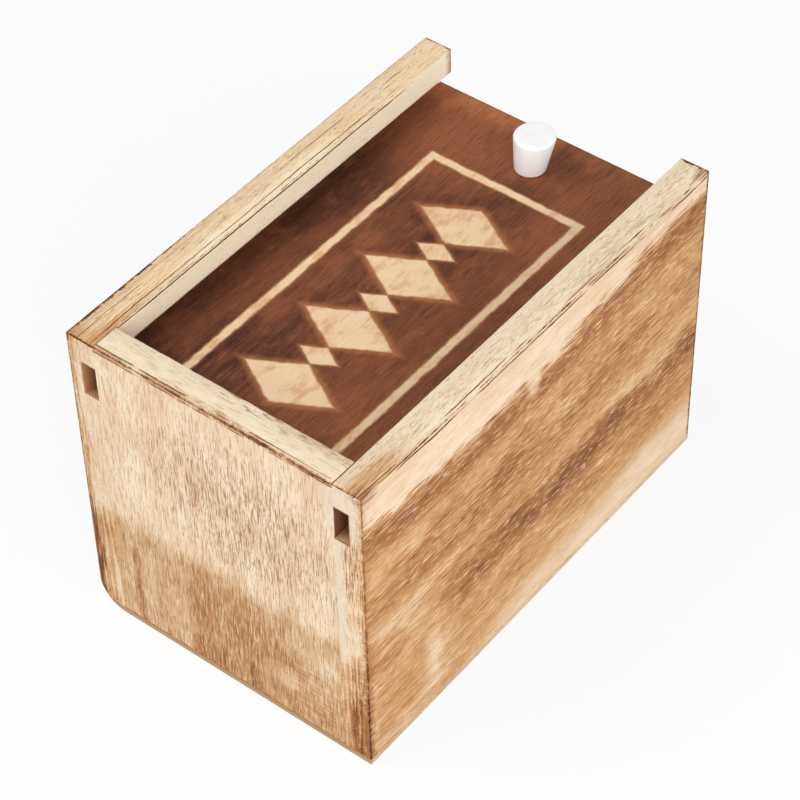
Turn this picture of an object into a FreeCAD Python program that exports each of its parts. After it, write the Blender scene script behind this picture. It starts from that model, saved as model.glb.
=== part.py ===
# Jack in the box: a small torched wooden box with a sliding lid and a rubber spider
# on a sprung wire arm that swings up through the top as the lid is pulled open.
# Millimetres. X runs along the box towards the end that the lid slides out of, Z is up,
# and the origin is the middle of the underside.

import FreeCAD
import Part
import Sketcher

import math
import os

doc = FreeCAD.newDocument("jack_in_the_box")
sheet = doc.addObject("Spreadsheet::Sheet", "dims")

# Driving dimensions, one cell each
SIZES = (
    # box
    ("box_length", 85),
    ("box_width", 54.5),
    ("box_height", 59),
    ("side_thickness", 5.2),
    ("end_thickness", 5.2),
    ("board_thickness", 1.2),
    ("corner_round", 5),
    # lid groove, cut into the inner face of each side panel
    ("groove_depth", 2.6),
    ("lip_height", 4.8),
    # lid
    ("lid_thickness", 3.2),
    ("lid_floor_gap", 0.1),
    ("lid_top_gap", 2.8),
    ("lid_side_gap", 0.35),
    ("lid_front_gap", 0.2),
    ("lid_setback", 0.3),
    # peg
    ("peg_top_diameter", 6.9),
    ("peg_base_diameter", 5.1),
    ("peg_height", 6),
    ("peg_spigot_diameter", 3.6),
    ("peg_edge_radius", 0.5),
    ("peg_inset", 7.6),
    # pins under the lid that catch the rear wall
    ("pin_inset", 5.4),
    ("pin_diameter", 1.4),
    ("pin_grip", 2.4),
    ("pin_drop", 3.4),
    ("pin_wall_gap", 0.9),
    # brads that hold the bottom board
    ("brad_diameter", 1),
    ("brad_length", 8),
    ("brad_spread", 14),
    # axle and its spacers
    ("axle_diameter", 3),
    ("axle_height", 26),
    ("axle_setback", 8.3),
    ("axle_socket", 2.4),
    ("axle_clearance", 0.05),
    ("spacer_wall", 0.95),
    ("spacer_end_gap", 0.15),
    # arm
    ("hub_diameter", 10),
    ("hub_length", 12),
    ("hub_grip", 2.8),
    ("wire_diameter", 1.8),
    ("arm_lead", 11.2),
    ("crank_bend", 8),
    # torsion spring
    ("spring_wire", 1.2),
    ("spring_clearance", 0.9),
    ("spring_pitch", 1.35),
    ("spring_whole_turns", 6),
    ("spring_hub_gap", 1),
    ("spring_foot_drop", 18),
    ("spring_foot_gap", 0.1),
    ("spring_push_radius", 13),
    ("spring_push_gap", 0.1),
    ("spring_hook_past_arm", 2.5),
    ("spring_hook_bend", 2),
    # spider
    ("spider_height", 9),
    ("spider_front_room", 21.3),
    ("spider_side_room", 3),
    ("spider_floor_room", 0.5),
    ("spider_grip", 12),
    ("abdomen_length", 16),
    ("abdomen_thickness", 11.6),
    ("thorax_length", 12),
    ("thorax_thickness", 8),
    ("waist_overlap", 2.5),
    ("leg_diameter", 1.8),
    ("leg_knee_rise", 5.5),
)
for row, (alias, value) in enumerate(SIZES, 1):
    sheet.set(f"A{row}", alias)
    sheet.set(f"B{row}", str(value))
    sheet.setAlias(f"B{row}", alias)
doc.recompute()

# Places that several pieces share, as expressions on the sheet
INNER_HALF = "(dims.box_width / 2 - dims.side_thickness)"
FRONT_FACE = "(dims.end_thickness - dims.box_length / 2)"
REAR_FACE = "(dims.box_length / 2 - dims.end_thickness)"
GROOVE_TOP = "(dims.box_height - dims.lip_height)"
GROOVE_HEIGHT = "(dims.lid_floor_gap + dims.lid_thickness + dims.lid_top_gap)"
GROOVE_FLOOR = f"({GROOVE_TOP} - {GROOVE_HEIGHT})"
LID_BOTTOM = f"({GROOVE_FLOOR} + dims.lid_floor_gap)"
LID_TOP = f"({LID_BOTTOM} + dims.lid_thickness)"
LID_END = "(dims.box_length / 2 - dims.lid_setback)"
PEG_X = f"({LID_END} - dims.peg_inset)"
PIN_X = f"({FRONT_FACE} + dims.lid_front_gap + dims.pin_inset)"
PIN_Y = f"({INNER_HALF} - dims.pin_wall_gap - dims.pin_diameter / 2)"
BRAD_X = "(dims.box_length / 2 - dims.end_thickness / 2)"
AXLE_X = f"({REAR_FACE} - dims.axle_setback)"
BORE = "(dims.axle_diameter + 2 * dims.axle_clearance)"
SPACER_OUTSIDE = f"({BORE} + 2 * dims.spacer_wall)"
SPACER_LENGTH = f"({INNER_HALF} - dims.hub_length / 2 - 2 * dims.spacer_end_gap)"
SPIDER_X = f"({FRONT_FACE} + dims.spider_front_room)"
ABDOMEN_REAR = f"({SPIDER_X} + dims.thorax_length / 2 + dims.abdomen_length - dims.waist_overlap)"

# How far the cutters run past what they cut
OVERRUN = 1
ALONG_Y = FreeCAD.Rotation(FreeCAD.Vector(1, 0, 0), -90)
ALONG_X = FreeCAD.Rotation(FreeCAD.Vector(0, 1, 0), 90)

nodes = []


def size(alias):
    return float(sheet.get(alias))


def node(piece, label):
    piece.Label = label
    nodes.append(piece)
    return piece


def bind(piece, **expressions):
    for name, expression in expressions.items():
        piece.setExpression(name.replace("__", "."), expression)


def place(piece, x="0", y="0", z="0"):
    bind(piece, Placement__Base__x=x, Placement__Base__y=y, Placement__Base__z=z)


def new_sketch(body, name, plane, height="0"):
    sketch = body.newObject("Sketcher::SketchObject", name)
    support = [part for part in body.Origin.OriginFeatures if part.Role == plane][0]
    sketch.AttachmentSupport = (support, [""])
    sketch.MapMode = "FlatFace"
    bind(sketch, AttachmentOffset__Base__z=height)
    return sketch


def pin_point(sketch, geometry, point, x, y):
    """Tie one point of a sketch to its place, an expression for each direction."""
    for kind, axis, place_on_axis in (("DistanceX", -2, x), ("DistanceY", -1, y)):
        if place_on_axis == "0":
            sketch.addConstraint(Sketcher.Constraint("PointOnObject", geometry, point, axis))
        else:
            rule = Sketcher.Constraint(kind, -1, 1, geometry, point, 1.0)
            number = sketch.addConstraint(rule)
            sketch.setExpression(f"Constraints[{number}]", place_on_axis)


def outline(sketch, corners):
    """A closed outline of straight sides through the given corners."""
    count = len(corners)
    turns = [2 * math.pi * i / count for i in range(count)]
    start = [FreeCAD.Vector(math.cos(turn), math.sin(turn)) for turn in turns]
    for i in range(count):
        sketch.addGeometry(Part.LineSegment(start[i], start[(i + 1) % count]))
    for i, (x, y) in enumerate(corners):
        sketch.addConstraint(Sketcher.Constraint("Coincident", i, 2, (i + 1) % count, 1))
        pin_point(sketch, i, 1, x, y)


def circles(sketch, centres, diameter):
    for i, (x, y) in enumerate(centres):
        sketch.addGeometry(Part.Circle(FreeCAD.Vector(i, 0), FreeCAD.Vector(0, 0, 1), 0.4))
        number = sketch.addConstraint(Sketcher.Constraint("Diameter", i, 0.8))
        sketch.setExpression(f"Constraints[{number}]", diameter)
        pin_point(sketch, i, 3, x, y)


def pad(body, sketch, length):
    feature = body.newObject("PartDesign::Pad", "pad")
    feature.Profile = sketch
    bind(feature, Length=length)
    doc.recompute()
    return feature


def pocket(body, sketch, depth, upwards=False):
    """A pocket that is refused if it takes nothing away."""
    before = body.Shape.Volume
    feature = body.newObject("PartDesign::Pocket", "pocket")
    feature.Profile = sketch
    feature.Reversed = upwards
    bind(feature, Length=depth)
    doc.recompute()
    if body.Shape.Volume > before - 0.1:
        raise RuntimeError(f"a pocket in {body.Label} cuts nothing")
    return feature


def rectangle(x0, x1, half_width):
    return [(x0, f"-{half_width}"), (x1, f"-{half_width}"), (x1, half_width), (x0, half_width)]


def slab(label, corners, bottom, height):
    """A board with the given outline in plan."""
    body = doc.addObject("PartDesign::Body", label)
    sketch = new_sketch(body, "outline", "XY_Plane", bottom)
    outline(sketch, corners)
    pad(body, sketch, height)
    return body


def cylinder(name, diameter, length, rotation=FreeCAD.Rotation()):
    round_bar = doc.addObject("Part::Cylinder", name)
    round_bar.Placement = FreeCAD.Placement(FreeCAD.Vector(), rotation)
    bind(round_bar, Radius=f"{diameter} / 2", Height=length)
    return round_bar


def cut(name, base, tool):
    result = doc.addObject("Part::Cut", name)
    result.Base = base
    result.Tool = tool
    return result


def fuse(name, pieces):
    result = doc.addObject("Part::MultiFuse", name)
    result.Shapes = pieces
    return result


def bent_path(points, bend):
    """Straight runs through the points, joined by tangent arcs of one radius."""
    edges = []
    begin = points[0]
    for before, corner, after in zip(points, points[1:], points[2:]):
        back = (before - corner).normalize()
        ahead = (after - corner).normalize()
        half = back.getAngle(ahead) / 2
        tangent = bend / math.tan(half)
        middle = (back + ahead).normalize()
        centre = corner + middle * (bend / math.sin(half))
        arc_start = corner + back * tangent
        arc_end = corner + ahead * tangent
        edges.append(Part.LineSegment(begin, arc_start).toShape())
        edges.append(Part.Arc(arc_start, centre - middle * bend, arc_end).toShape())
        begin = arc_end
    edges.append(Part.LineSegment(begin, points[-1]).toShape())
    return edges


def swept_rod(edges, start, direction, diameter, frenet=False):
    """A round rod along joined edges, refused unless it holds its section times its length."""
    path = Part.Wire(edges)
    section = Part.Wire(Part.makeCircle(diameter / 2, start, direction))
    rod = path.makePipeShell([section], True, frenet)
    expected = math.pi * diameter**2 / 4 * path.Length
    if abs(rod.Volume - expected) > 0.02 * expected:
        raise RuntimeError("a swept rod has the wrong volume")
    return rod


def shaped(name, shape):
    piece = doc.addObject("Part::Feature", name)
    piece.Shape = shape
    return piece


# Side panels: a full length board with the lid groove run right through its inner face,
# and a blind hole for the axle
def side_panel(name, side):
    def across(distance):
        return distance if side > 0 else f"-{distance}"

    outer = across("(dims.box_width / 2)")
    inner = across(INNER_HALF)
    groove = across(f"({INNER_HALF} + dims.groove_depth)")
    section = [
        (outer, "dims.board_thickness"),
        (inner, "dims.board_thickness"),
        (inner, GROOVE_FLOOR),
        (groove, GROOVE_FLOOR),
        (groove, GROOVE_TOP),
        (inner, GROOVE_TOP),
        (inner, "dims.box_height"),
        (outer, "dims.box_height"),
    ]
    body = doc.addObject("PartDesign::Body", name)
    profile = new_sketch(body, "section", "YZ_Plane", "-dims.box_length / 2")
    outline(profile, section)
    pad(body, profile, "dims.box_length")
    # The sketch plane faces -Y, so its height counts the other way
    socket = new_sketch(body, "axle_socket", "XZ_Plane", f"-1 * {inner}")
    circles(socket, [(AXLE_X, "dims.axle_height")], "dims.axle_diameter")
    pocket(body, socket, "dims.axle_socket", upwards=side < 0)
    return body


node(side_panel("right_panel", -1), "right_side_panel")
left_panel = side_panel("left_panel", 1)

# The lower outer edge on the left is sanded round, through the panel and the board
round_block = doc.addObject("Part::Box", "round_block")
bind(
    round_block,
    Length=f"dims.box_length + 2 * {OVERRUN}",
    Width=f"dims.corner_round + {OVERRUN}",
    Height=f"dims.corner_round + {OVERRUN}",
)
place(
    round_block,
    f"-dims.box_length / 2 - {OVERRUN}",
    "dims.box_width / 2 - dims.corner_round",
    f"-{OVERRUN}",
)
round_bar = cylinder("round_bar", "2 * dims.corner_round", f"dims.box_length + 4 * {OVERRUN}", ALONG_X)
place(
    round_bar,
    f"-dims.box_length / 2 - 2 * {OVERRUN}",
    "dims.box_width / 2 - dims.corner_round",
    "dims.corner_round",
)
round_top = doc.addObject("Part::Box", "round_top")
bind(
    round_top,
    Length=f"dims.box_length + 4 * {OVERRUN}",
    Width=f"dims.corner_round + 2 * {OVERRUN}",
    Height=f"2 * {OVERRUN}",
)
place(
    round_top,
    f"-dims.box_length / 2 - 2 * {OVERRUN}",
    "dims.box_width / 2 - dims.corner_round",
    "dims.corner_round",
)
corner_waste = cut("corner_waste", round_block, fuse("corner_kept", [round_bar, round_top]))
node(cut("left_rounded", left_panel, corner_waste), "left_side_panel")


# End walls between the side panels, with holes for the brads
def end_wall(name, x0, x1, brad_x, top):
    body = slab(name, rectangle(x0, x1, INNER_HALF), "dims.board_thickness", f"{top} - dims.board_thickness")
    holes = new_sketch(body, "brad_holes", "XY_Plane", "dims.board_thickness")
    circles(holes, brad_places(brad_x), "dims.brad_diameter")
    pocket(body, holes, "dims.brad_length - dims.board_thickness", upwards=True)
    return body


def brad_places(brad_x):
    return [(brad_x, y) for y in ("-dims.brad_spread", "0", "dims.brad_spread")]


FRONT_BRADS = f"-{BRAD_X}"
node(end_wall("front", "-dims.box_length / 2", FRONT_FACE, FRONT_BRADS, "dims.box_height"), "front_wall")
node(end_wall("rear", REAR_FACE, "dims.box_length / 2", BRAD_X, GROOVE_FLOOR), "rear_wall")

# Thin bottom board under all four walls
board_outline = rectangle("-dims.box_length / 2", "dims.box_length / 2", "(dims.box_width / 2)")
board = slab("board", board_outline, "0", "dims.board_thickness")
board_holes = new_sketch(board, "brad_holes", "XY_Plane")
circles(board_holes, brad_places(FRONT_BRADS) + brad_places(BRAD_X), "dims.brad_diameter")
pocket(board, board_holes, "dims.board_thickness", upwards=True)
node(cut("board_rounded", board, corner_waste), "bottom_board")

brads = []
for x, y in brad_places(FRONT_BRADS) + brad_places(BRAD_X):
    brads.append(cylinder("brad", "dims.brad_diameter", "dims.brad_length"))
    place(brads[-1], x, y)
brad_group = doc.addObject("Part::Compound", "brads")
brad_group.Links = brads
node(brad_group, "bottom_brads")

# Lid, running in the two grooves over the low rear wall
lid_half = f"({INNER_HALF} + dims.groove_depth - dims.lid_side_gap)"
lid_outline = rectangle(f"{FRONT_FACE} + dims.lid_front_gap", LID_END, lid_half)
lid = slab("lid", lid_outline, LID_BOTTOM, "dims.lid_thickness")
peg_hole = new_sketch(lid, "peg_hole", "XY_Plane", LID_BOTTOM)
circles(peg_hole, [(PEG_X, "0")], "dims.peg_spigot_diameter")
pocket(lid, peg_hole, "dims.lid_thickness", upwards=True)
pin_places = [(PIN_X, f"-{PIN_Y}"), (PIN_X, PIN_Y)]
pin_holes = new_sketch(lid, "pin_holes", "XY_Plane", LID_BOTTOM)
circles(pin_holes, pin_places, "dims.pin_diameter")
pocket(lid, pin_holes, "dims.pin_grip", upwards=True)
node(lid, "lid_panel")

pins = []
for x, y in pin_places:
    pins.append(cylinder("pin", "dims.pin_diameter", "dims.pin_grip + dims.pin_drop"))
    place(pins[-1], x, y, f"{LID_BOTTOM} - dims.pin_drop")
pin_group = doc.addObject("Part::Compound", "pins")
pin_group.Links = pins
node(pin_group, "lid_stop_pins")

# Tapered peg to pull the lid by, with a spigot through the lid
peg = doc.addObject("PartDesign::Body", "peg")
peg_profile = new_sketch(peg, "profile", "XZ_Plane")
peg_corners = [
    ("0", "-dims.lid_thickness"),
    ("dims.peg_spigot_diameter / 2", "-dims.lid_thickness"),
    ("dims.peg_spigot_diameter / 2", "0"),
    ("dims.peg_base_diameter / 2", "0"),
    ("dims.peg_top_diameter / 2", "dims.peg_height"),
    ("0", "dims.peg_height"),
]
outline(peg_profile, peg_corners)
turned = peg.newObject("PartDesign::Revolution", "turned")
turned.Profile = peg_profile
turned.ReferenceAxis = (peg_profile, ["V_Axis"])
turned.Angle = 360
doc.recompute()
top_edges = [
    f"Edge{i}"
    for i, edge in enumerate(turned.Shape.Edges, 1)
    if abs(edge.BoundBox.ZMin - size("peg_height")) < 1e-6 and edge.BoundBox.XLength > size("peg_base_diameter")
]
softened = peg.newObject("PartDesign::Fillet", "softened")
softened.Base = (turned, top_edges)
bind(softened, Radius="dims.peg_edge_radius")
place(peg, PEG_X, "0", LID_TOP)
node(peg, "lid_peg")

# Axle across the box, held in the side panels, with a spacer tube each side of the hub
axle_half = f"({INNER_HALF} + dims.axle_socket)"
axle = cylinder("axle", "dims.axle_diameter", f"2 * {axle_half}", ALONG_Y)
place(axle, AXLE_X, f"-{axle_half}", "dims.axle_height")
node(axle, "axle_rod")


def spacer(label, y_start):
    outside = cylinder("spacer_outside", SPACER_OUTSIDE, SPACER_LENGTH, ALONG_Y)
    bore = cylinder("spacer_bore", BORE, f"{SPACER_LENGTH} + 2 * {OVERRUN}", ALONG_Y)
    place(outside, AXLE_X, y_start, "dims.axle_height")
    place(bore, AXLE_X, f"{y_start} - {OVERRUN}", "dims.axle_height")
    node(cut("spacer", outside, bore), label)


spacer("right_axle_spacer", f"dims.spacer_end_gap - {INNER_HALF}")
spacer("left_axle_spacer", "dims.hub_length / 2 + dims.spacer_end_gap")

# Wooden hub on the axle, drilled across for the arm wire
hub_outside = cylinder("hub_outside", "dims.hub_diameter", "dims.hub_length", ALONG_Y)
hub_bore = cylinder("hub_bore", BORE, f"dims.hub_length + 2 * {OVERRUN}", ALONG_Y)
place(hub_outside, AXLE_X, "-dims.hub_length / 2", "dims.axle_height")
place(hub_bore, AXLE_X, f"-dims.hub_length / 2 - {OVERRUN}", "dims.axle_height")

doc.recompute()

# The arm drops from the axle to the spider's height in its first run, and is level from there.
# All of the arm and the spring is measured from the axle.
axle_x = axle.Placement.Base.x
spider_drop = size("axle_height") - size("spider_height")
spider_x = size("end_thickness") - size("box_length") / 2 + size("spider_front_room")
abdomen_rear = spider_x + size("thorax_length") / 2 + size("abdomen_length") - size("waist_overlap")
crank_corner = FreeCAD.Vector(abdomen_rear + size("arm_lead") - axle_x, 0, -spider_drop)
arm_run = FreeCAD.Vector(crank_corner).normalize()
hub_radius = size("hub_diameter") / 2
wire_start = hub_radius - size("hub_grip")
socket_depth = hub_radius + OVERRUN - wire_start
hub_socket = shaped(
    "hub_socket",
    Part.makeCylinder(size("wire_diameter") / 2, socket_depth, arm_run * wire_start, arm_run),
)
place(hub_socket, AXLE_X, "0", "dims.axle_height")
node(cut("hub", hub_outside, fuse("hub_holes", [hub_bore, hub_socket])), "arm_hub")

# Arm wire: out of the hub, bent level, and on into the spider
arm_points = [
    arm_run * wire_start,
    crank_corner,
    FreeCAD.Vector(abdomen_rear - size("spider_grip") - axle_x, 0, -spider_drop),
]
arm_edges = bent_path(arm_points, size("crank_bend"))
arm_wire = shaped("arm", swept_rod(arm_edges, arm_points[0], arm_run, size("wire_diameter")))
place(arm_wire, AXLE_X, "0", "dims.axle_height")
node(arm_wire, "arm_wire")


# Torsion spring: a foot braced on the rear wall, a coil round one spacer, and a leg whose
# hook passes under the arm. Its turns run from the foot to the hook.
def torsion_spring():
    wire = size("spring_wire")
    spacer_radius = size("axle_diameter") / 2 + size("axle_clearance") + size("spacer_wall")
    radius = spacer_radius + size("spring_clearance") + wire / 2
    inner_y = size("hub_length") / 2 + size("spring_hub_gap") + wire / 2

    def around(angle, y):
        return FreeCAD.Vector(radius * math.cos(angle), y, radius * math.sin(angle))

    foot_x = size("axle_setback") - wire / 2 - size("spring_foot_gap")
    foot_z = -size("spring_foot_drop")
    foot_angle = math.atan2(foot_z, foot_x) - math.acos(radius / math.hypot(foot_x, foot_z))

    push_side = FreeCAD.Vector(-arm_run.z, 0, arm_run.x)
    push_offset = (size("wire_diameter") + wire) / 2 + size("spring_push_gap")
    push = arm_run * size("spring_push_radius") + push_side * push_offset
    leg_angle = math.atan2(push.z, push.x) + math.acos(radius / push.Length)

    part_turn = ((foot_angle - leg_angle) / (2 * math.pi)) % 1
    height = size("spring_pitch") * (size("spring_whole_turns") + part_turn)
    outer_y = inner_y + height

    coil = Part.makeHelix(size("spring_pitch"), height, radius, 0, True)
    axes = FreeCAD.Matrix()
    axes.A11, axes.A31 = math.cos(foot_angle), math.sin(foot_angle)
    axes.A12, axes.A32 = -math.sin(foot_angle), math.cos(foot_angle)
    axes.A13, axes.A23, axes.A33 = 0, -1, 0
    axes.A22 = 0
    axes.A24 = outer_y
    coil = coil.transformGeometry(axes)

    foot = FreeCAD.Vector(foot_x, outer_y, foot_z)
    foot_leg = [Part.LineSegment(foot, around(foot_angle, outer_y)).toShape()]
    hook_end = FreeCAD.Vector(push.x, -size("spring_hook_past_arm"), push.z)
    hook_points = [around(leg_angle, inner_y), FreeCAD.Vector(push.x, inner_y, push.z), hook_end]
    hook_leg = bent_path(hook_points, size("spring_hook_bend"))
    edges = foot_leg + list(coil.Edges) + hook_leg
    return swept_rod(edges, foot, around(foot_angle, outer_y) - foot, wire, True)


spring = shaped("spring", torsion_spring())
place(spring, AXLE_X, "0", "dims.axle_height")
node(spring, "torsion_spring")


# Rubber spider: a turned body and eight bent legs moulded as one, head towards the front wall
LEG_ANGLES = (38, 72, 108, 142)
HIP_SHARE = 0.15
KNEE_SHARE = 0.55
BALL_SHARE = 1.08


def turned_lump(name, middle, length, thickness):
    """A lump turned about the wire from one arc, measured from the middle of the fore body."""
    front = FreeCAD.Vector(middle - length / 2, 0, 0)
    rear = FreeCAD.Vector(middle + length / 2, 0, 0)
    crown = FreeCAD.Vector(middle, 0, thickness / 2)
    edges = [Part.Arc(front, crown, rear).toShape(), Part.LineSegment(rear, front).toShape()]
    lump = Part.Face(Part.Wire(edges)).revolve(FreeCAD.Vector(), FreeCAD.Vector(1, 0, 0), 360)
    return shaped(name, lump)


def spider_leg(angle, side):
    """One leg: two straight runs with a ball at the knee and at the foot."""
    reach = size("box_width") / 2 - size("side_thickness") - size("spider_side_room")
    radius = size("leg_diameter") / 2
    foot_room = size("board_thickness") + size("spider_floor_room") + radius * BALL_SHARE
    turn = math.radians(angle)
    out = FreeCAD.Vector(-math.cos(turn), side * math.sin(turn), 0)
    up = FreeCAD.Vector(0, 0, 1)
    hip = out * (reach * HIP_SHARE)
    knee = out * (reach * KNEE_SHARE) + up * size("leg_knee_rise")
    foot = out * reach - up * (size("spider_height") - foot_room)
    solids = [Part.makeSphere(radius * BALL_SHARE, joint) for joint in (knee, foot)]
    for begin, end in ((hip, knee), (knee, foot)):
        solids.append(Part.makeCylinder(radius, (end - begin).Length, begin, end - begin))
    return [shaped("leg", solid) for solid in solids]


abdomen_middle = (size("thorax_length") + size("abdomen_length")) / 2 - size("waist_overlap")
spider_solids = [
    turned_lump("thorax", 0, size("thorax_length"), size("thorax_thickness")),
    turned_lump("abdomen", abdomen_middle, size("abdomen_length"), size("abdomen_thickness")),
]
for side in (-1, 1):
    for angle in LEG_ANGLES:
        spider_solids += spider_leg(angle, side)
for solid in spider_solids:
    place(solid, SPIDER_X, "0", "dims.spider_height")
spider_whole = fuse("spider_whole", spider_solids)
wire_hole = cylinder("wire_hole", "dims.wire_diameter", f"dims.spider_grip + {OVERRUN}", ALONG_X)
place(wire_hole, f"{ABDOMEN_REAR} - dims.spider_grip", "0", "dims.spider_height")
node(cut("spider", spider_whole, wire_hole), "rubber_spider")

doc.recompute()

# Nothing is written unless every object worked out
for piece in doc.Objects:
    if {"Invalid", "Error"} & set(piece.State):
        raise RuntimeError(f"{piece.Label} failed: {piece.State}")
for piece in nodes:
    if piece.Shape.isNull() or not piece.Shape.isValid():
        raise RuntimeError(f"{piece.Label} has no valid shape")

os.makedirs("parts", exist_ok=True)
for piece in nodes:
    piece.Shape.exportStep(f"parts/{piece.Label}.step")
    box = piece.Shape.BoundBox
    print(
        f"{piece.Label}: {len(piece.Shape.Solids)} solids, {piece.Shape.Volume:.1f} mm3, "
        f"x {box.XMin:.2f} {box.XMax:.2f}, y {box.YMin:.2f} {box.YMax:.2f}, z {box.ZMin:.2f} {box.ZMax:.2f}"
    )
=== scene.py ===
import math

import bmesh
import bpy
from mathutils import Matrix, Vector


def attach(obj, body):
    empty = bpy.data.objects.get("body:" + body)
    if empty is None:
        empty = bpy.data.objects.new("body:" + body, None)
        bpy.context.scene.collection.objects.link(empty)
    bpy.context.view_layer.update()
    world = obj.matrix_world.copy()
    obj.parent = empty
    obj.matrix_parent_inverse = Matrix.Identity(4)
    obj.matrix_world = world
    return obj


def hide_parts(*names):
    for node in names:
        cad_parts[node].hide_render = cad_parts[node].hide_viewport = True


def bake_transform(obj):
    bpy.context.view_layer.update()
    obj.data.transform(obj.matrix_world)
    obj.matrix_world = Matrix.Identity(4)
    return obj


# A torched wooden surprise box with a stained sliding lid, a white pull peg, and a rubber
# spider on a sprung wire arm inside. Sizes are in millimetres, apart from the lamps' and the floor's.
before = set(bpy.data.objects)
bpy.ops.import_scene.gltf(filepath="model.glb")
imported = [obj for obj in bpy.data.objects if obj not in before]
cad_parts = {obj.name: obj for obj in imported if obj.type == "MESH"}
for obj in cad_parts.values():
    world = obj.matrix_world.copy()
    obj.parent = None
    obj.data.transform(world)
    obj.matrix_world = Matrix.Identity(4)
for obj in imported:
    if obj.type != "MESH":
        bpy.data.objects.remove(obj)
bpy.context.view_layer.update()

MM = 0.001
X, Y, Z = range(3)

# Box sizes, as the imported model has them
BOX_END = 42.5
BOX_SIDE = 27.25
BOX_TOP = 59.0
WALL_INSIDE_Y = 22.05
WALL_INSIDE_X = 37.3
BOARD_TOP = 1.2
GROOVE_DEEP_Y = 24.65
GROOVE_LOW = 48.1
GROOVE_HIGH = 54.2
CORNER_ROUND = 5.0
LID_LOW = (-37.1, -24.3, 48.2)
LID_HIGH = (42.4, 24.3, 51.4)
PEG_X = 34.6
AXLE_X = 29.0
AXLE_Z = 26.0

# The middle of a groove's mouth and half its size, for marks around it
MOUTH_DEPTH = BOX_TOP - (GROOVE_LOW + GROOVE_HIGH) / 2
MOUTH_Y = (WALL_INSIDE_Y + GROOVE_DEEP_Y) / 2
MOUTH_HALF_HIGH = (GROOVE_HIGH - GROOVE_LOW) / 2
MOUTH_HALF_WIDE = (GROOVE_DEEP_Y - WALL_INSIDE_Y) / 2


# Modelling by hand: how squarely a face or edge counts as facing or running along an axis, how
# sharp an edge is softened, and how close two corners are merged
FACING = 0.9
ALONG = 0.99
SLANTING = 0.98
SHARP = math.radians(30)
DOUBLES = 0.005


def let_go():
    """Object mode with nothing selected."""
    if bpy.context.object and bpy.context.object.mode != "OBJECT":
        bpy.ops.object.mode_set(mode="OBJECT")
    bpy.ops.object.select_all(action="DESELECT")


def take_up(piece):
    """Make one piece the only one that operators act on."""
    let_go()
    piece.select_set(True)
    bpy.context.view_layer.objects.active = piece


def edit(piece):
    take_up(piece)
    bpy.ops.object.mode_set(mode="EDIT")


def named(name):
    """Name the new piece and put its place into its mesh."""
    piece = bpy.context.object
    piece.name = name
    piece.data.name = name
    bpy.ops.object.transform_apply(location=True, rotation=True, scale=True)
    return piece


def block(name, low, high):
    """A block between two corners."""
    let_go()
    middle = [(a + b) / 2 * MM for a, b in zip(low, high)]
    sides = [(b - a) * MM for a, b in zip(low, high)]
    bpy.ops.mesh.primitive_cube_add(size=1, location=middle, scale=sides)
    return named(name)


def rod(name, diameter, length, middle, facets):
    """An upright round rod."""
    let_go()
    bpy.ops.mesh.primitive_cylinder_add(
        vertices=facets,
        radius=diameter / 2 * MM,
        depth=length * MM,
        location=[part * MM for part in middle],
    )
    return named(name)


def mark(kind, test):
    """In edit mode, select only the faces or edges that pass the test."""
    bpy.ops.mesh.select_mode(type=kind)
    bpy.ops.mesh.select_all(action="DESELECT")
    mesh = bmesh.from_edit_mesh(bpy.context.object.data)
    for part in mesh.faces if kind == "FACE" else mesh.edges:
        if test(part):
            part.select_set(True)
    mesh.select_flush_mode()
    bmesh.update_edit_mesh(bpy.context.object.data)


def middle_of(part):
    """The middle of an edge or face."""
    total = Vector()
    for corner in part.verts:
        total += corner.co
    return total / len(part.verts) / MM


def runs_along(edge, axis):
    run = edge.verts[1].co - edge.verts[0].co
    return abs(run[axis]) > ALONG * run.length


def is_sharp(edge):
    return len(edge.link_faces) == 2 and edge.calc_face_angle() > SHARP


def near(value, target, room=0.15):
    return abs(value - target) < room


def anywhere(at):
    return True


def divide(axis, cuts):
    """Cut every edge along an axis into even lengths."""
    mark("EDGE", lambda edge: runs_along(edge, axis))
    bpy.ops.mesh.subdivide(number_cuts=cuts)


def soften(test, width, rounds=2):
    """Round off the sharp edges that pass the test."""
    mark("EDGE", lambda edge: is_sharp(edge) and test(middle_of(edge)))
    bpy.ops.mesh.bevel(offset=width * MM, offset_type="OFFSET", segments=rounds, affect="EDGES")


def slice_at(axis, place, clear_below=False, clear_above=False):
    """Cut right through at a place along an axis."""
    bpy.ops.mesh.select_mode(type="FACE")
    bpy.ops.mesh.select_all(action="SELECT")
    point = [0, 0, 0]
    point[axis] = place * MM
    normal = [0, 0, 0]
    normal[axis] = 1
    bpy.ops.mesh.bisect(
        plane_co=point,
        plane_no=normal,
        use_fill=clear_below or clear_above,
        clear_inner=clear_below,
        clear_outer=clear_above,
    )


def apply(piece, kind, **settings):
    """Add one modifier with its settings and apply it."""
    take_up(piece)
    modifier = piece.modifiers.new(kind.lower(), kind)
    for key, value in settings.items():
        setattr(modifier, key, value)
    bpy.ops.object.modifier_apply(modifier=modifier.name)


def roughen(piece, texture, grain, depth, level, group=""):
    """Push the surface in and out by a texture with grains of one size."""
    texture.noise_scale = grain * MM
    apply(
        piece,
        "DISPLACE",
        texture=texture,
        texture_coords="LOCAL",
        strength=depth * MM,
        mid_level=level,
        vertex_group=group,
    )
    bpy.data.textures.remove(texture)


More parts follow.
